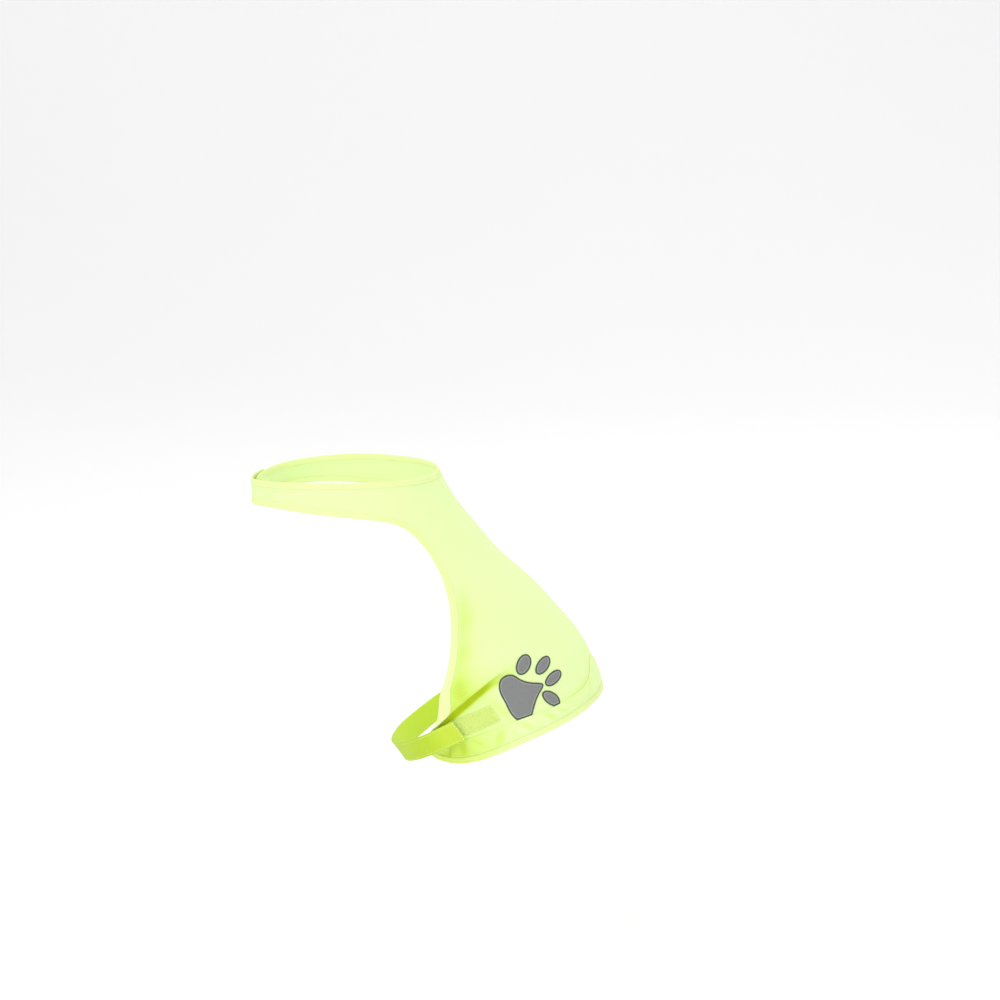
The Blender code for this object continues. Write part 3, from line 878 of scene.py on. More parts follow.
def drift_group():
    """A colour that drifts slightly over the surface, with painted shade between the yarns and the painted shade that
    each piece carries.
    """
    nodes, given, made = new_group(
        "Colour drift",
        {"Colour": (0.7, 0.9, 0.1, 1.0), "Deep Colour": (0.5, 0.7, 0.04, 1.0), "Mask": 1.0, "Amount": 0.3},
        {"Colour": COLOUR, "Fade": FLOAT},
    )
    place = nodes.on_object()
    cloudy = nodes.times(nodes.minus(nodes.noise(place, 28.0, 3.0), 0.5), 0.7)
    speckle = nodes.times(nodes.minus(nodes.noise(place, 900.0), 0.5), 0.35)
    fade = nodes.plus(nodes.plus(cloudy, speckle), nodes.minus(1.0, given["Mask"]))
    # Painted shade of the creases, seams and corners, carried by the piece
    painted_shade_value = nodes.add("ShaderNodeAttribute", attribute_name="Hollow").outputs["Fac"]
    amount = nodes.calc("ADD", nodes.times(fade, given["Amount"]), painted_shade_value, clamp=True)
    drifted_and_shaded = nodes.mix(amount, given["Colour"], given["Deep Colour"])
    nodes.put(made["Colour"], nodes.mix(nodes.calc("POWER", amount, 3.6), drifted_and_shaded, DEEPEST_SHADE_TINT, "MULTIPLY"))
    nodes.put(made["Fade"], amount)
    return nodes.tree


def group_named(name, maker):
    return bpy.data.node_groups.get(name) or maker()


def opaque(colour):
    return (*colour[:3], 1.0)


def plain_material(name, roughness, sheen, glow=0.0, shine=0.35):
    """A material with its nodes and its shader's inputs."""
    made = bpy.data.materials.new(name)
    made.use_nodes = True
    shader = made.node_tree.nodes["Principled BSDF"].inputs
    values = {
        "Roughness": roughness,
        "Specular IOR Level": shine,
        "Sheen Weight": sheen,
        "Sheen Roughness": 0.45,
        "Sheen Tint": (1.0, 1.0, 0.86, 1.0),
        "Emission Strength": glow,
    }
    for label, value in values.items():
        shader[label].default_value = value
    return made, Nodes(made.node_tree), shader


def dye(nodes, shader, colour, mask, amount):
    """Feeds the drifting colour with its painted shade, and a painted glow of the same colour, to the shader; returns
    how faded it is.
    """
    darkening = opaque([part * kept for part, kept in zip(colour, DRIFT_AND_SHADE_TINT)])
    inputs = {"Colour": opaque(colour), "Deep Colour": darkening, "Amount": amount, "Mask": mask}
    tint = nodes.add("ShaderNodeGroup", inputs, node_tree=group_named("Colour drift", drift_group)).outputs
    nodes.put(shader["Base Color"], tint["Colour"])
    nodes.put(shader["Emission Color"], tint["Colour"])
    return tint["Fade"]


def cloth_finish(name, part, group, pitch, depth, sheen, amount=0.35):
    """Dyed cloth: its weave or knit as a fine relief, with painted shade between the yarns."""
    if name in bpy.data.materials:
        return bpy.data.materials[name]
    colours, sizes = settings()
    made, nodes, shader = plain_material(name, CLOTH_ROUGHNESS, sheen, sizes.glow)
    yarns = nodes.add("ShaderNodeGroup", {"Pitch": pitch}, node_tree=group).outputs
    fade = dye(nodes, shader, getattr(colours, part), yarns[1], amount)
    nodes.put(shader["Normal"], nodes.bump(yarns["Height"], depth))
    nodes.put(shader["Roughness"], nodes.scaled(fade, CLOTH_ROUGHNESS - 0.06, min(CLOTH_ROUGHNESS + 0.12, 1.0)))
    return made


def tape_nap():
    """Hook and loop tape: a short uneven nap."""
    colours, sizes = settings()
    made, nodes, shader = plain_material("Loop tape", 0.95, 0.35, sizes.glow)
    place = nodes.on_object()
    height = nodes.plus(nodes.minus(1.0, nodes.cells(place, NAP_SCALE)), nodes.noise(place, NAP_SCALE * 0.4, 4.0, 0.7))
    # Painted shade between the tufts of the nap
    dye(nodes, shader, colours.tape, nodes.calc("MULTIPLY", height, 0.55, clamp=True), 0.6)
    nodes.put(shader["Normal"], nodes.bump(height, 0.0005))
    return made


def sewing_thread():
    name = "Sewing thread"
    if name in bpy.data.materials:
        return bpy.data.materials[name]
    colours, sizes = settings()
    made, nodes, shader = plain_material(name, 0.6, 0.2, sizes.glow)
    plies = nodes.noise(nodes.on_object(), 2500.0)
    dye(nodes, shader, colours.thread, plies, 0.4)
    nodes.put(shader["Normal"], nodes.bump(plies, 0.0001))
    return made


def film_finish(colours):
    """Grey reflective film: a dark sealed edge, which along the cut under the hem band is painted shadow, a thin pale
    line of painted highlight inside it, and fine glass beads.
    """
    made, nodes, shader = plain_material("Reflective film", 0.5, 0.0, shine=0.5)
    where = nodes.on_object()
    depth = nodes.on_cloth()[1]["X"]
    edge = nodes.plus(depth, nodes.times(nodes.minus(nodes.noise(where, 260.0, 3.0), 0.5), 0.035))
    ramp = nodes.add("ShaderNodeValToRGB", {"Fac": edge})
    stops = ramp.color_ramp.elements
    for place, part in FILM_STOPS:
        stops.new(place).color = opaque(getattr(colours, f"{part}_colour"))
    stops[0].color = opaque(colours.border_colour)
    stops[-1].color = opaque(colours.paw_colour)
    mottle = nodes.noise(where, 420.0, 4.0, 0.65)
    grey = nodes.mix(0.35, ramp.outputs["Color"], nodes.scaled(mottle, 0.7, 1.25), "MULTIPLY")
    nodes.put(shader["Base Color"], grey)
    relief = nodes.plus(nodes.cells(where, 5200.0), nodes.times(mottle, 1.4))
    nodes.put(shader["Normal"], nodes.bump(relief, 0.00012, 0.7))
    nodes.put(shader["Roughness"], nodes.scaled(mottle, 0.38, 0.58))
    return made


# Settings


def colour_setting(name, description, default):
    return FloatVectorProperty(
        name=name, description=description, default=default, size=3, min=0, max=1, subtype="COLOR"
    )


def size_setting(name, description, default):
    return FloatProperty(name=name, description=description, default=default, min=0, unit="LENGTH", precision=5)


class VestColours(bpy.types.PropertyGroup):
    cloth: colour_setting("Cloth", "Dye of the panel and of the hem band", (0.82, 0.985, 0.49))
    binding: colour_setting("Binding", "Dye of the bound edges", (0.865, 0.965, 0.50))
    strap: colour_setting("Strap", "Dye of the belly strap", (0.62, 0.78, 0.07))
    tape: colour_setting("Tape", "Dye of the hook and loop tapes", (0.81, 0.955, 0.33))
    thread: colour_setting("Thread", "Dye of the sewing thread", (0.88, 0.98, 0.50))
    paw_colour: colour_setting("Paw", "Grey of the reflective film", (0.225, 0.23, 0.23))
    # The paw's pale line is a painted highlight inside its edge
    line_colour: colour_setting("Paw line", "Pale line inside the paw's edge", (0.33, 0.35, 0.33))
    # The paw's dark edge is its sealed edge, and painted shadow of the hem band along the cut
    border_colour: colour_setting("Paw edge", "Dark edge of the paw", (0.05, 0.065, 0.045))
    floor: colour_setting("Floor", "Colour of the floor and the backdrop", (0.93, 0.93, 0.93))


class VestSizes(bpy.types.PropertyGroup):
    knit_pitch: size_setting("Knit pitch", "Distance between the cloth's loops", 0.0007)
    weave_pitch: size_setting("Weave pitch", "Distance between the strap's yarns", 0.0008)
    stitch_length: size_setting("Stitch length", "Length of one stitch", 0.0021)
    thread_width: size_setting("Thread width", "Thickness of the sewing thread", 0.0004)
    nap_height: size_setting("Nap height", "Height of the loops on the soft tape", 0.0004)
    film_thickness: size_setting("Film thickness", "Thickness of the reflective film", 0.0005)
    # Painted glow: the cloth, tapes and thread give out a little light of their own colour, which lifts their shaded
    # parts
    glow: FloatProperty(
        name="Glow", description="How much the fluorescent dye adds to the light", default=0.04, min=0, max=1
    )
    key_light: FloatProperty(
        name="Key light", description="Power of the large soft light above", default=24.5, min=0, unit="POWER"
    )


def settings():
    return bpy.context.scene.vest_colours, bpy.context.scene.vest_sizes


def panel_cloth():
    pitch = settings()[1].knit_pitch / MM / 10
    return cloth_finish("Vest cloth", "cloth", group_named("Knit", knit_group), pitch, 0.00011, 0.2, 0.18)


def binding_cloth():
    return cloth_finish("Binding cloth", "binding", group_named("Weave", weave_group), 0.05, 0.00014, 0.1)


def strap_cloth():
    pitch = settings()[1].weave_pitch / MM / 10
    return cloth_finish("Strap cloth", "strap", group_named("Weave", weave_group), pitch, 0.0002, 0.2, 0.45)


def on_body(piece, node=None):
    """Puts a piece on the part's one body; a node names the solid that it stands for."""
    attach(piece, "root")
    if node:
        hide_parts(node)


# Pieces


def outline_tree():
    """The front and neck edges as points in mm, to tell how far a place on the panel is from a seam."""
    fractions = np.linspace(0, FRONT_END_AT + 0.02, 500)
    lines = []
    for side in (1, -1):
        along, around = OUTLINE_EDGE.point(fractions)
        lines.append(torso(along, side * around))
        along, around = NECK_LINE.point(np.linspace(0, 1, 400))
        lines.append(torso(along, side * around))
    points = np.concatenate(lines)
    run = np.concatenate([running_length(line, 0) for line in lines])
    return tree_of(points), run


def seam_ripples(along, around, tree, run):
    """Small gathers that the bound edges pull into the cloth, strongest at the seam."""
    flat = torso(along, around).reshape(-1, 3)
    distance = np.empty(len(flat))
    place = np.empty(len(flat))
    for number, point in enumerate(flat):
        _, index, distance[number] = tree.find(point)
        place[number] = run[index]
    wave = sum(share * np.sin(place * 2 * np.pi / pitch + phase) for pitch, phase, share in RIPPLES)
    near = smooth_step(3.5, 7.0, distance) * np.exp(-np.maximum(distance - 6.0, 0) / 6.5)
    patchy = 0.55 + 0.45 * np.sin(place / 31 + 1.0)
    return (0.17 * wave * near * patchy).reshape(np.shape(along))


def cloth_places(along, around):
    """Places on the cloth in cm: along the ridge, and round from it."""
    scale = length_of(slopes_at(along, np.abs(around) * 0 + 60.0)[1])
    return np.stack([along / 10, around * scale / 10], -1)


def panel_patches():
    rows = np.interp(np.linspace(0, 1, 151), [0, 0.30, 0.86, 1], [0, 0.52, 0.87, 1])
    share_across = np.linspace(-1, 1, 201)
    down, turned = np.meshgrid(rows, share_across, indexing="ij")
    share = np.abs(turned)
    top_along, top_around = (float(x) for x in OUTLINE_EDGE.point(SHOULDER_AT, PANEL_INSET))
    corner = [float(x) for x in OUTLINE_EDGE.point(CORNER_AT, PANEL_INSET)]
    hem_middle = float(OUTLINE_EDGE.point(1.0, PANEL_INSET)[0])
    side = OUTLINE_EDGE.point(mixed(SHOULDER_AT, CORNER_AT, rows), PANEL_INSET)
    hem = OUTLINE_EDGE.point(mixed(1.0, CORNER_AT, np.abs(share_across)), PANEL_INSET)
    top = (np.full(share.shape, top_along), top_around * share)
    ridge = (mixed(top_along, hem_middle, down), np.zeros(share.shape))
    corners = ((top_along, 0.0), (top_along, top_around), (hem_middle, 0.0), corner)
    blended = []
    for k in (0, 1):
        top_left, top_right, low_left, low_right = (point[k] for point in corners)
        flat = mixed(mixed(top_left, top_right, share), mixed(low_left, low_right, share), down)
        rim = mixed(top[k], hem[k][None, :], down) + mixed(ridge[k], side[k][:, None], share)
        blended.append(rim - flat)
    yield blended[0], blended[1] * np.where(turned < 0, -1, 1)

    down, turned = np.meshgrid(np.linspace(0, 1, 15), share_across, indexing="ij")
    around = top_around * turned
    yield mixed(neck_inset(np.abs(around), PANEL_INSET), top_along, down), around

    for arm_side, end in ((1, LEFT_ARM_END), (-1, RIGHT_ARM_END)):
        end_at = OUTLINE_EDGE.fraction_at(end, 0.0, SHOULDER_AT, PANEL_INSET)
        out = np.linspace(0, 1, 111)
        low_along, low_around = OUTLINE_EDGE.point(mixed(SHOULDER_AT, end_at, out), PANEL_INSET)
        down, low_along = np.meshgrid(np.linspace(0, 1, 15), low_along, indexing="ij")
        around = np.broadcast_to(low_around, down.shape)
        along = mixed(neck_inset(around, PANEL_INSET), low_along, down)
        if arm_side < 0:
            along, around = along[:, ::-1], around[:, ::-1]
        yield along, arm_side * around


class VEST_OT_panel(bpy.types.Operator):
    """Make the back panel with its neck arms"""

    bl_idname = "vest.panel"
    bl_label = "Back panel"

    def execute(self, context):
        tree, run = outline_tree()
        patches = []
        for along, around in panel_patches():
            height = WALL + seam_ripples(along, around, tree, run)
            patches.append((surface(along, around, height), cloth_places(along, around), painted_shade(along, around)))
        piece = sheet_of("Back_panel", patches, panel_cloth(), CLOTH)
        on_body(piece, "back_panel")
        return {"FINISHED"}


# Section of a bound edge: inset from the edge and height in mm, from the outer layer's free edge
# over the roll to the inner layer, and back through the slot that holds the cloth
BINDING_SECTION = (
    (5.2, 1.98),
    (5.12, 2.14),
    (4.75, 2.30),
    (4.2, 2.32),
    (3.75, 2.18),
    (3.35, 2.04),
    (2.95, 2.18),
    (2.4, 2.38),
    (1.6, 2.44),
    (0.8, 2.26),
    (0.22, 1.84),
    (0.0, 1.28),
    (0.2, 0.74),
    (0.7, 0.42),
    (1.6, 0.28),
    (3.0, 0.30),
    (4.6, 0.30),
    (5.0, 0.42),
    (4.9, 0.66),
    (3.0, 0.72),
    (1.5, 0.76),
    (1.05, 1.30),
    (1.5, 1.86),
    (3.4, 1.84),
    (4.9, 1.86),
)


BINDING_RINGS_APART = 1.25
BINDING_MIDDLE = 1.28
BINDING_GROOVE = 3.35
BINDING_STITCH = 2.7


def binding_rings(locate, length):
    """Rings of a bound edge; locate gives along and around for fractions and insets."""
    out = np.linspace(0, 1, int(length / BINDING_RINGS_APART) + 1)[:, None]
    inset, height = section_of(BINDING_SECTION)
    place = out * length
    swell = 1 + 0.05 * np.sin(place / 5.3) * np.sin(place / 17 + 1) + 0.03 * np.sin(place / 2.9)
    outer = np.maximum(height - BINDING_MIDDLE, 0)
    along, around = locate(out, inset + 0.12 * np.sin(place / 11 + 0.4) * (inset < 1.0))
    stitched = bump(inset - BINDING_GROOVE, 0.5) * (height > 1.95)
    pinch = -0.05 * np.cos(place * 2 * np.pi / BINDING_STITCH) * stitched
    # Painted shade on the bindings towards the front corners
    painted_shades = BINDING_SHADE * towards_corner(around) * smooth_step(*BINDING_SHADE_ALONG, along)
    return surface(along, around, height + outer * (swell - 1) + pinch), painted_shades


class VEST_OT_bindings(bpy.types.Operator):
    """Make the folded bindings of the neck, the fronts and the hem, with their sewing"""

    bl_idname = "vest.bindings"
    bl_label = "Bound edges"

    def execute(self, context):
        finish = binding_cloth()
        lines = {}
        for side, name, end in ((1, "left", LEFT_ARM_END), (-1, "right", RIGHT_ARM_END)):
            start = float(OUTLINE_EDGE.fraction_at(end, 0.0, SHOULDER_AT))

            def front(out, inset, start=start, side=side):
                along, around = OUTLINE_EDGE.point(mixed(start, FRONT_END_AT, out), inset)
                return along, side * around

            lines[f"Front_binding_{name}"] = (front, (FRONT_END_AT - start) * OUTLINE_EDGE.length)
        neck_ends = [float(NECK_LINE.fraction_at(end, 0.0, 1.0)) for end in (LEFT_ARM_END, RIGHT_ARM_END)]
        hem_start = FRONT_END_AT + 0.3 / OUTLINE_EDGE.length

        def over_ridge(edge, ends, out, inset):
            fraction, side = across_ridge(*ends, out)
            along, around = edge.point(fraction, inset)
            return along, side * around

        lines["Neck_binding"] = (partial(over_ridge, NECK_LINE, neck_ends), 2 * NECK_LINE.length)
        hem = partial(over_ridge, OUTLINE_EDGE, (hem_start, hem_start))
        lines["Hem_binding"] = (hem, 2 * (1 - hem_start) * OUTLINE_EDGE.length)
        for name, (locate, length) in lines.items():
            rings, painted_shades = binding_rings(locate, length)
            on_body(swept(name, rings, finish, painted_shades), name.lower())
            path = raised_path(*locate(np.linspace(0.002, 0.998, int(length)), BINDING_GROOVE), 2.08)
            on_body(sewn(name + "_stitches", [path], Thread()))
        return {"FINISHED"}


# Section of the hem band where its upper edge is 20.5 mm from the hem: inset and height in mm
BAND_SECTION = (
    (5.28, 1.92),
    (5.30, 2.12),
    (5.9, 2.30),
    (7.2, 2.62),
    (9.0, 2.86),
    (11.0, 2.95),
    (13.0, 2.98),
    (15.0, 2.96),
    (16.8, 2.94),
    (18.0, 2.88),
    (18.8, 2.72),
    (19.5, 2.86),
    (20.1, 2.78),
    (20.45, 2.45),
    (20.5, 2.15),
    (20.2, 1.92),
    (18.5, 1.90),
    (15.0, 1.90),
    (11.0, 1.90),
    (7.5, 1.90),
)
BAND_SECTION_TOP = 20.5
# Rows of stitches on the band: inset and height in mm
BAND_ROWS = ((18.8, 2.74), (6.6, 2.64))


def hem_line(out, inset):
    """Along and around on the hem band; its upper part follows the arch of its edge."""
    fraction, side = across_ridge(BAND_END_AT, BAND_END_AT, out)
    reach = band_top(OUTLINE_EDGE.around(fraction)) - BAND_SECTION_TOP
    along, around = OUTLINE_EDGE.point(fraction, inset + reach * np.clip((inset - 8) / 9, 0, 1))
    return along, side * around


def pucker(around, inset):
    """Hollows that the sewing pulls into the hem band."""
    height = np.zeros(np.broadcast(around, inset).shape)
    for at, lean, width, depth in PUCKERS:
        for centre in (at, -at - 3.5):
            aside = (around - centre) * BAND_MM_A_DEGREE - lean * (inset - PUCKER_INSET) / 7
            height -= depth * bump(aside, width) * bump(inset - PUCKER_INSET, 6.0)
            height += 0.4 * depth * bump(aside - 1.8 * width, width) * bump(inset - PUCKER_INSET, 6.0)
    return height


class VEST_OT_hem_band(bpy.types.Operator):
    """Make the facing sewn along the hem, puckered by its two rows of stitches"""

    bl_idname = "vest.hem_band"
    bl_label = "Hem band"

    def execute(self, context):
        length = 2 * (1 - BAND_END_AT) * OUTLINE_EDGE.length
        out = np.linspace(0, 1, int(length / 1.1) + 1)[:, None]
        inset, height = section_of(BAND_SECTION)
        place = (out - 0.5) * length
        outer = height > 2.0
        wave = 0.25 * np.sin(place / 7.7) * np.sin(place / 23) * (inset > 19)
        along, around = hem_line(out, inset + wave)
        lift = np.where(outer, pucker(around, inset), 0.0)
        height = np.maximum(height + lift, np.where(outer, 2.1, 0.0))
        # Painted shade in the band's pucker dimples and towards its front corners
        darkening = np.clip(-0.40 * lift, 0.0, 0.3) + FRONT_SHADE * towards_corner(around)
        piece = swept("Hem_band", surface(along, around, height), panel_cloth(), darkening)
        on_body(piece, "hem_band")
        fractions = np.linspace(0.004, 0.996, int(length))
        paths = [raised_path(*hem_line(fractions, inset_at), height_at) for inset_at, height_at in BAND_ROWS]
        on_body(sewn("Hem_band_stitches", paths, Thread()))
        return {"FINISHED"}


def strap_point(across, around, height):
    """Points of the strap in mm, for mm from its middle line and a height over its inner face."""
    along = strap_middle(around) + across
    along, around, height = np.broadcast_arrays(along, around, height)
    out = directions(along, around)[0]
    return torso(along, around) + (strap_height(around) + height)[..., None] * out


def strap_section():
    """Across and height of the strap's section, with soft edges and a groove beside each."""
    half, thick = STRAP_WIDTH / 2, STRAP_THICKNESS
    outer = [(-half, 0.75), (-half + 0.15, 1.2), (-half + 0.7, thick), (-half + 1.5, 1.36), (-half + 2.2, 1.46)]
    outer += [(-half + 4.5, 1.5), (0.0, 1.5)]
    mirrored = [(-across, height) for across, height in reversed(outer[:-1])]
    under = [(half - 0.2, 0.25), (half - 0.9, 0.0), (0.0, 0.0), (-half + 0.9, 0.0), (-half + 0.2, 0.25)]
    return outer + mirrored + under


class VEST_OT_strap(bpy.types.Operator):
    """Make the belly strap, with its folded free end and its sewn end"""

    bl_idname = "vest.strap"
    bl_label = "Belly strap"

    def execute(self, context):
        first, last = STRAP_TURNS[0], STRAP_TURNS[-1]
        extra = np.array([0.0, 0.12, 0.35, 0.8, 1.2, 1.6])
        around = np.unique(np.concatenate([first + extra, last - extra, np.linspace(first, last, 240)]))[:, None]
        across, height = section_of(strap_section())
        from_end = np.minimum(around - first, last - around) * STRAP_MM_A_DEGREE
        lip = 0.45 * bump(around - first - 0.75, 0.55) * (height > 0.6)
        closing = np.clip(from_end / 0.5, 0, 1) ** 0.5
        middle = STRAP_THICKNESS / 2
        height = middle + (height - middle) * mixed(0.35, 1.0, closing) + lip
        place = (around - first) * STRAP_MM_A_DEGREE
        across = across * (1 - 0.012 * (1 - closing)) + 0.12 * np.sin(place / 13) + 0 * height
        height = height + 0.10 * np.sin(place / 6.1 + across / 9) * smooth_step(2, 14, place)
        # Painted shade where the strap turns under the belly
        darkening = STRAP_SHADE * risen(*STRAP_SHADED, around) + 0 * height
        piece = swept("Belly_strap", strap_point(across, around, height), strap_cloth(), darkening)
        on_body(piece, "belly_strap")

        def row(across_places, around_places, lift=-0.08):
            points = strap_point(across_places, around_places, STRAP_THICKNESS + lift)
            return points, directions(strap_middle(around_places) + across_places, around_places)[0]

        half = STRAP_WIDTH / 2 - 1.5
        lengthwise = np.linspace(first + 1.6, last - 1.2, 400)
        cross = np.linspace(-half, half, 20)
        box = np.linspace(last - 9.5, last - 1.3, 20)
        paths = [row(np.full(400, side * half), lengthwise) for side in (-1, 1)]
        paths += [row(cross, np.full(20, at)) for at in (first + 1.9, last - 1.3, last - 9.5)]
        paths += [row(cross, box), row(cross, box[::-1])]
        on_body(sewn("Belly_strap_stitches", paths, Thread()))
        close = Thread()
        close.space, close.width, close.rise = STRAP_END_STITCH
        end_row = row(np.linspace(-half - 1.2, half + 1.2, 30), np.full(30, first + 0.55), 0.30)
        on_body(sewn("Belly_strap_end_stitches", [end_row], close))
        return {"FINISHED"}


TAPE_THICKNESS = 0.8
HOOK_BASE = 0.24
# Rings of a bent hook: share of its height, bend and half width in mm
HOOK_RINGS = ((0.0, 0.0, 0.16), (0.6, 0.02, 0.13), (1.0, 0.22, 0.11), (0.85, 0.42, 0.08))


def tape_sheet(name, place, width, turn, counts, nap, finish):
    """A tape whose outer face is roughened by a short nap; place takes across, around and height."""
    half = width / 2
    rows, across = (np.linspace(*ends, count + 1) for ends, count in zip(((-half, half), turn), counts))
    spread, around = np.meshgrid(rows, across, indexing="ij")
    ends = ((around - turn[0]) * STRAP_MM_A_DEGREE, (turn[1] - around) * STRAP_MM_A_DEGREE)
    rim = np.minimum.reduce([spread + half, half - spread, *ends])
    tufts = np.random.default_rng(7).random(spread.shape)
    rough = nap * (tufts - 0.5) * smooth_step(0.6, 1.6, rim)
    height = TAPE_THICKNESS + rough - 0.62 * (1 - smooth_step(0.0, 1.6, rim))
    places = np.stack([spread / 10, around * STRAP_MM_A_DEGREE / 10], -1)
    patch = (place(spread, around, height), places, np.zeros(spread.shape))
    return sheet_of(name, [patch], finish, TAPE_THICKNESS * 0.7)


def hook_rows(name, place, width, turn, pitch, height, finish):
    """Rows of small bent hooks standing inwards from a tape."""
    across = np.arange(-width / 2 + 1.0, width / 2 - 0.9, pitch)
    around = np.arange(turn[0] + 0.6, turn[1] - 0.5, pitch / STRAP_MM_A_DEGREE)
    spread, turned = (x.reshape(-1) for x in np.meshgrid(across, around, indexing="ij"))
    rings = []
    for level, bend, size in HOOK_RINGS:
        for side, ahead in ((-1, -1), (1, -1), (1, 1), (-1, 1)):
            forward = (bend + ahead * size) / STRAP_MM_A_DEGREE
            rings.append(place(spread + side * size, turned + forward, HOOK_BASE - height * level))
    points = np.stack(rings, 1).reshape(-1, 3)
    faces = tube_faces(len(spread), len(HOOK_RINGS))
    piece = new_piece(name, points, faces.tolist(), points[faces.reshape(-1)][:, :2] / 10, finish)
    with opened(piece.data) as shape:
        bmesh.ops.recalc_face_normals(shape, faces=shape.faces)
    return piece


class VEST_OT_fastenings(bpy.types.Operator):
    """Make the soft and the hooked tapes of the belly and throat fastenings"""

    bl_idname = "vest.fastenings"
    bl_label = "Fastenings"

    def execute(self, context):
        nap = settings()[1].nap_height / MM
        finish = tape_nap()
        neck_middle = float(neck_inset(180.0, 5.5) + OUTLINE_EDGE.point(OUTLINE_EDGE.places[1], 5.5)[0]) / 2

        def on_panel(across, around, height):
            return surface(LOOP_PATCH_MIDDLE + across, around, WALL + 0.1 + height)

        def under_strap(across, around, height):
            return strap_point(across, around, height - 1.1)

        def on_arm(across, around, height, lift=0.1):
            along, around, height = np.broadcast_arrays(neck_middle + across, around, height)
            return torso(along, around) + (WALL + lift + height)[..., None] * directions(along, around)[0]

        def on_left_arm(across, around, height):
            return on_arm(across, around, height, 1.5)

        tapes = (
            ("Loop_patch", on_panel, LOOP_PATCH_WIDTH, LOOP_PATCH, (44, 90), nap),
            ("Strap_hook", under_strap, STRAP_HOOK_WIDTH, STRAP_HOOK, (12, 12), 0.0),
            ("Throat_loop", on_arm, THROAT_TAPE_WIDTH, THROAT_TAPE, (18, 60), nap),
            ("Throat_hook", on_left_arm, THROAT_TAPE_WIDTH, THROAT_TAPE, (8, 30), 0.0),
        )
        for name, place, width, turn, counts, rough in tapes:
            piece = tape_sheet(name, place, width, turn, counts, rough, finish)
            on_body(piece, name.lower())
        hooks = (
            ("Strap_hook_rows", under_strap, STRAP_HOOK_WIDTH, STRAP_HOOK, 1.1, 0.6),
            ("Throat_hook_rows", on_left_arm, THROAT_TAPE_WIDTH, THROAT_TAPE, 1.2, 0.5),
        )
        for name, place, width, turn, pitch, height in hooks:
            on_body(hook_rows(name, place, width, turn, pitch, height, finish))
        paths = []
        half = LOOP_PATCH_WIDTH / 2 - 1.1
        start, end = LOOP_PATCH[0] + 0.8, LOOP_PATCH[1] - 0.8
        corners = [(-half, start), (half, start), (half, end), (-half, end), (-half, start)]
        for corner, after in zip(corners, corners[1:]):
            across, around = (np.linspace(*ends, 30) for ends in zip(corner, after))
            paths.append((on_panel(across, around, 0.85), directions(LOOP_PATCH_MIDDLE + across, around)[0]))
        on_body(sewn("Loop_patch_stitches", paths, Thread(0.85)))
        return {"FINISHED"}


def paw_place(across, up):
    """Along and around for mm across and up from the paw's middle."""
    home_along, home_around = PAW_PLACE
    by_along, by_around = (float(length_of(slope)) for slope in slopes_at(*np.array(PAW_PLACE, float)))
    lean = math.radians(PAW_LEAN)
    run = across * math.cos(lean) - up * math.sin(lean)
    rise = up * math.cos(lean) + across * math.sin(lean)
    return home_along + run / by_along, home_around - rise / by_around


def turned_by(degrees, across, up):
    turn = math.radians(degrees)
    return np.stack([across * math.cos(turn) - up * math.sin(turn), across * math.sin(turn) + up * math.cos(turn)], -1)


def band_cut(around):
    """A point on the hem band's upper edge at an angle, and the direction from it to the hem."""
    near = float(OUTLINE_EDGE.fraction_at(around, CORNER_AT, 1.0, band_top(around)))
    ends = np.array([near, near + 0.01])
    cut, after = np.array(OUTLINE_EDGE.point(ends, band_top(OUTLINE_EDGE.around(ends)) + 0.12)).T
    square = unit(np.cross(surface(*after) - surface(*cut), directions(*cut)[0]))
    if square @ slopes_at(*cut)[0] < 0:
        square = -square
    return Vector(surface(*cut, WALL) * MM), Vector(square)


def seal_rim(shape, towards):
    """Maps the film by its depth from the rim in cm, and presses the sealed edge into it."""
    rim = [edge.verts for edge in shape.edges if edge.is_boundary]
    tree = tree_of([first.co.lerp(second.co, share) for first, second in rim for share in (0.0, 0.25, 0.5, 0.75)])
    layer = shape.loops.layers.uv["Cloth"]
    for vertex in shape.verts:
        depth = 0.0 if vertex.is_boundary else tree.find(vertex.co)[2] / MM
        for corner in vertex.link_loops:
            corner[layer].uv = (depth / 10, vertex.co.z * 10)
        sink = 0.16 * math.exp(-(((depth - 1.35) / 0.35) ** 2)) - 0.12 * math.exp(-(((depth - 0.6) / 0.5) ** 2))
        vertex.co -= towards * sink * MM


def film_piece(name, loop, middle, finish, thickness):
    """A flat shape on the panel from its outline in mm, cut straight where the hem band covers it."""
    rings = 25
    sides = loop.shape[0] - 1
    shares = np.sin(np.linspace(0, 1, rings + 1) * np.pi / 2)
    across, up = (middle[k] + shares[:, None] * loop[None, :, k] for k in (0, 1))
    points = surface(*paw_place(across, up), WALL + 0.06 + thickness)
    places = np.zeros((rings * sides * 4, 2))
    piece = new_piece(name, points, grid_faces(rings, sides).tolist(), places, finish, weld=0.01)
    centre = [float(x) for x in paw_place(*middle)]
    cut, to_hem = band_cut(centre[1])
    with opened(piece.data) as shape:
        bmesh.ops.bisect_plane(
            shape,
            geom=shape.verts[:] + shape.edges[:] + shape.faces[:],
            plane_co=cut,
            plane_no=to_hem,
            clear_outer=True,
        )
        shape.normal_update()
        towards = Vector(directions(*centre)[0])
        if sum((face.normal.dot(towards) * face.calc_area() for face in shape.faces)) < 0:
            bmesh.ops.reverse_faces(shape, faces=shape.faces)
        seal_rim(shape, towards)
    return thicken(piece, thickness, 0.12)


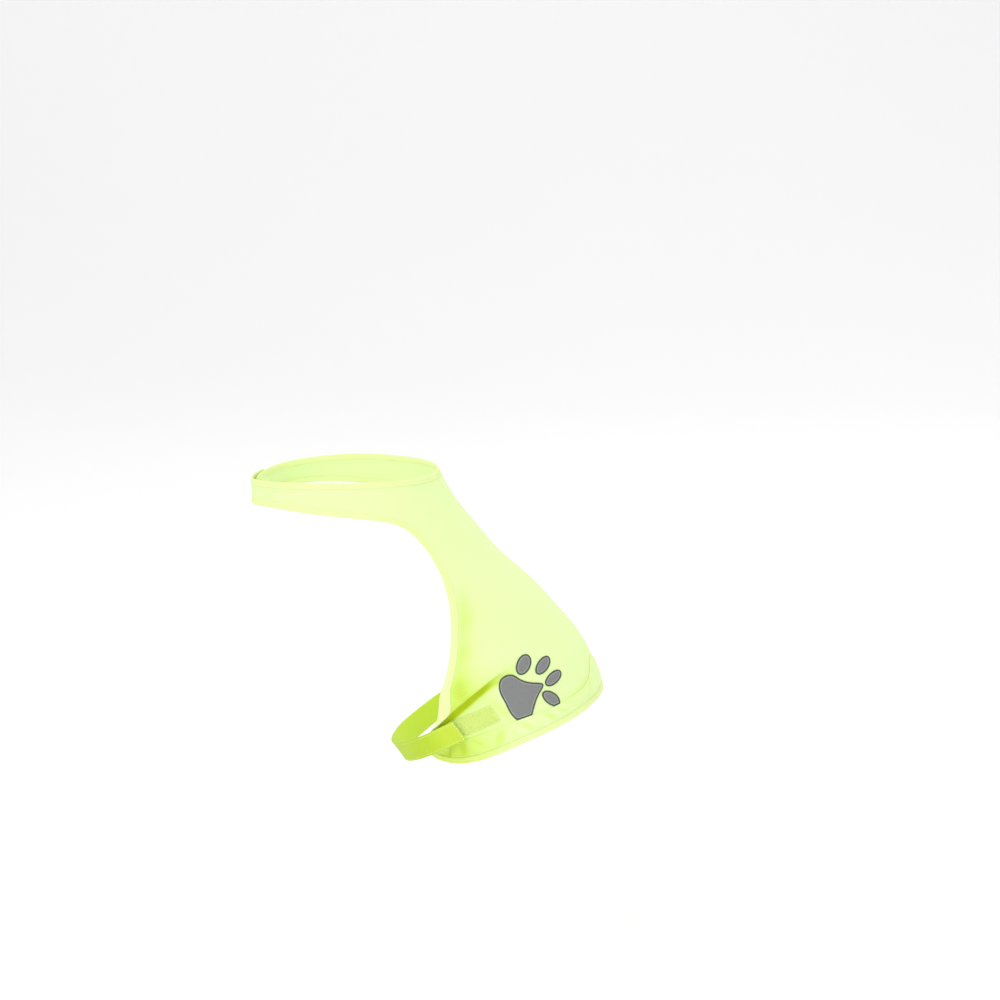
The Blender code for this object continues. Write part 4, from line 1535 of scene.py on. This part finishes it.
class VEST_OT_paw(bpy.types.Operator):
    """Make the reflective paw, a pad with three soft lobes and four oval toes"""

    bl_idname = "vest.paw"
    bl_label = "Paw"

    def execute(self, context):
        colours, sizes = settings()
        finish = film_finish(colours)
        loop = [*PAD[-2:], *PAD, *PAD[:3]]
        across_curve, up_curve = (Curve(range(len(loop)), values) for values in columns(loop))
        places = np.linspace(2, len(PAD) + 2, 181)
        angle = np.linspace(0, 2 * np.pi, 97)
        shapes = [("pad", turned_by(PAD_LEAN, across_curve(places), up_curve(places)), (0.0, 0.0))]
        for number, (across, up, lean, half_width, half_length) in enumerate(TOES, 1):
            toe = turned_by(lean, half_width * np.sin(angle), half_length * np.cos(angle))
            shapes.append((f"toe_{number}", toe, (across, up)))
        for name, outline, middle in shapes:
            piece = film_piece(f"Paw_{name}", outline, middle, finish, sizes.film_thickness / MM)
            on_body(piece, f"paw_{name}")
        return {"FINISHED"}


class VEST_OT_declare_cloth(bpy.types.Operator):
    """Takes no step; it finishes without stating the cloth's cut"""

    bl_idname = "vest.declare_cloth"
    bl_label = "State the cloth"

    def execute(self, context):
        return {"FINISHED"}


# Stage, in m

FLOOR_LEVEL = -0.37
FLOOR_RUN = (-7.0, 2.6)
FLOOR_BEND = 1.2
FLOOR_RISE = 7.0
FLOOR_SIDE = 8.0
FLOOR_GLOW = 0.12
WORLD_LIGHT = 0.68
WHITE = (1.0, 1.0, 1.0, 1.0)
# Name, share of the key light's power, size and place
LIGHTS = (
    ("Key light", 1.0, 1.6, (-0.9, -1.3, 2.2)),
    ("Back light", 0.55, 1.8, (0.9, 1.6, 1.9)),
    ("Front fill", 0.28, 1.6, (1.3, -2.0, 0.6)),
)
LIGHT_AIM = (0.0, 0.0, -0.05)
CAMERA_TARGET = (0.00477, 0.00936, 0.04062)
CAMERA_AHEAD = (-0.13561, 0.96489, -0.22495)
CAMERA_DISTANCE = 2.0


def area_light(name, power, size, place):
    light = bpy.data.lights.new(name, "AREA")
    light.shape = "DISK"
    light.size = size
    light.energy = power
    holder = linked(name, light)
    holder.location = place
    holder.rotation_euler = (Vector(LIGHT_AIM) - Vector(place)).to_track_quat("-Z", "Y").to_euler()


class VEST_OT_stage(bpy.types.Operator):
    """Make the pale floor with its rising backdrop, the soft lights and the camera"""

    bl_idname = "vest.stage"
    bl_label = "Stage"

    def execute(self, context):
        colours, sizes = settings()
        start, end = FLOOR_RUN
        angles = np.linspace(0.1, math.pi / 2, 14)
        rise = [(FLOOR_BEND * math.sin(a), FLOOR_BEND - FLOOR_BEND * math.cos(a)) for a in angles]
        rise.append((FLOOR_BEND, FLOOR_RISE))
        profile = [(start - out, up) for out, up in reversed(rise)]
        profile += [(start, 0.0), (end, 0.0)]
        profile += [(end + out, up) for out, up in rise]
        points = np.array([[(x, y, FLOOR_LEVEL + z) for x in (FLOOR_SIDE, -FLOOR_SIDE)] for y, z in profile]) / MM
        made, nodes, shader = plain_material("Pale floor", 0.9, 0.0, FLOOR_GLOW)
        cloudy = nodes.noise(nodes.on_object(), 1.5)
        faded = opaque([0.985 * part for part in colours.floor])
        nodes.put(shader["Base Color"], nodes.mix(cloudy, opaque(colours.floor), faded))
        nodes.put(shader["Emission Color"], WHITE)
        rows, across = points.shape[0] - 1, points.shape[1] - 1
        floor = new_piece("Floor", points, grid_faces(rows, across).tolist(), np.zeros((rows * across * 4, 2)), made)
        floor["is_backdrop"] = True
        world = bpy.data.worlds.new("Studio")
        world.use_nodes = True
        background = world.node_tree.nodes["Background"].inputs
        background["Color"].default_value = WHITE
        background["Strength"].default_value = WORLD_LIGHT
        context.scene.world = world
        for name, share, size, place in LIGHTS:
            area_light(name, sizes.key_light * share, size, place)
        camera = bpy.data.cameras.new("Camera")
        camera.lens = 90.0
        camera.sensor_width = 36.0
        camera.clip_end = 50.0
        holder = linked("Camera", camera)
        ahead = Vector(CAMERA_AHEAD)
        holder.location = Vector(CAMERA_TARGET) - CAMERA_DISTANCE * ahead
        holder.rotation_euler = ahead.to_track_quat("-Z", "Y").to_euler()
        context.scene.camera = holder
        context.scene.view_settings.view_transform = "Standard"
        context.scene.view_settings.look = "None"
        return {"FINISHED"}


class VEST_PT_sidebar(bpy.types.Panel):
    bl_label = "Dog safety vest"
    bl_space_type = "VIEW_3D"
    bl_region_type = "UI"
    bl_category = "Vest"

    def draw(self, context):
        for operator in OPERATORS:
            self.layout.operator(operator.bl_idname)
        for group in (context.scene.vest_colours, context.scene.vest_sizes):
            box = self.layout.box()
            for name in group.__annotations__:
                box.prop(group, name)


OPERATORS = (
    VEST_OT_stage,
    VEST_OT_panel,
    VEST_OT_bindings,
    VEST_OT_hem_band,
    VEST_OT_strap,
    VEST_OT_fastenings,
    VEST_OT_paw,
    VEST_OT_declare_cloth,
)
CLASSES = (VestColours, VestSizes, *OPERATORS, VEST_PT_sidebar)


def register():
    for made in CLASSES:
        bpy.utils.register_class(made)
    bpy.types.Scene.vest_colours = PointerProperty(type=VestColours)
    bpy.types.Scene.vest_sizes = PointerProperty(type=VestSizes)


def unregister():
    del bpy.types.Scene.vest_sizes
    del bpy.types.Scene.vest_colours
    for made in reversed(CLASSES):
        bpy.utils.unregister_class(made)


def main():
    register()
    deselect()
    bpy.ops.vest.stage()
    bpy.ops.vest.panel()
    bpy.ops.vest.bindings()
    bpy.ops.vest.hem_band()
    bpy.ops.vest.strap()
    bpy.ops.vest.fastenings()
    bpy.ops.vest.paw()
    bpy.ops.vest.declare_cloth()
    boxes = {"solids": SOLIDS_BOX, "visual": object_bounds()}
    {name: [list(corner) for corner in box] for name, box in boxes.items()}


if __name__ == "__main__":
    main()
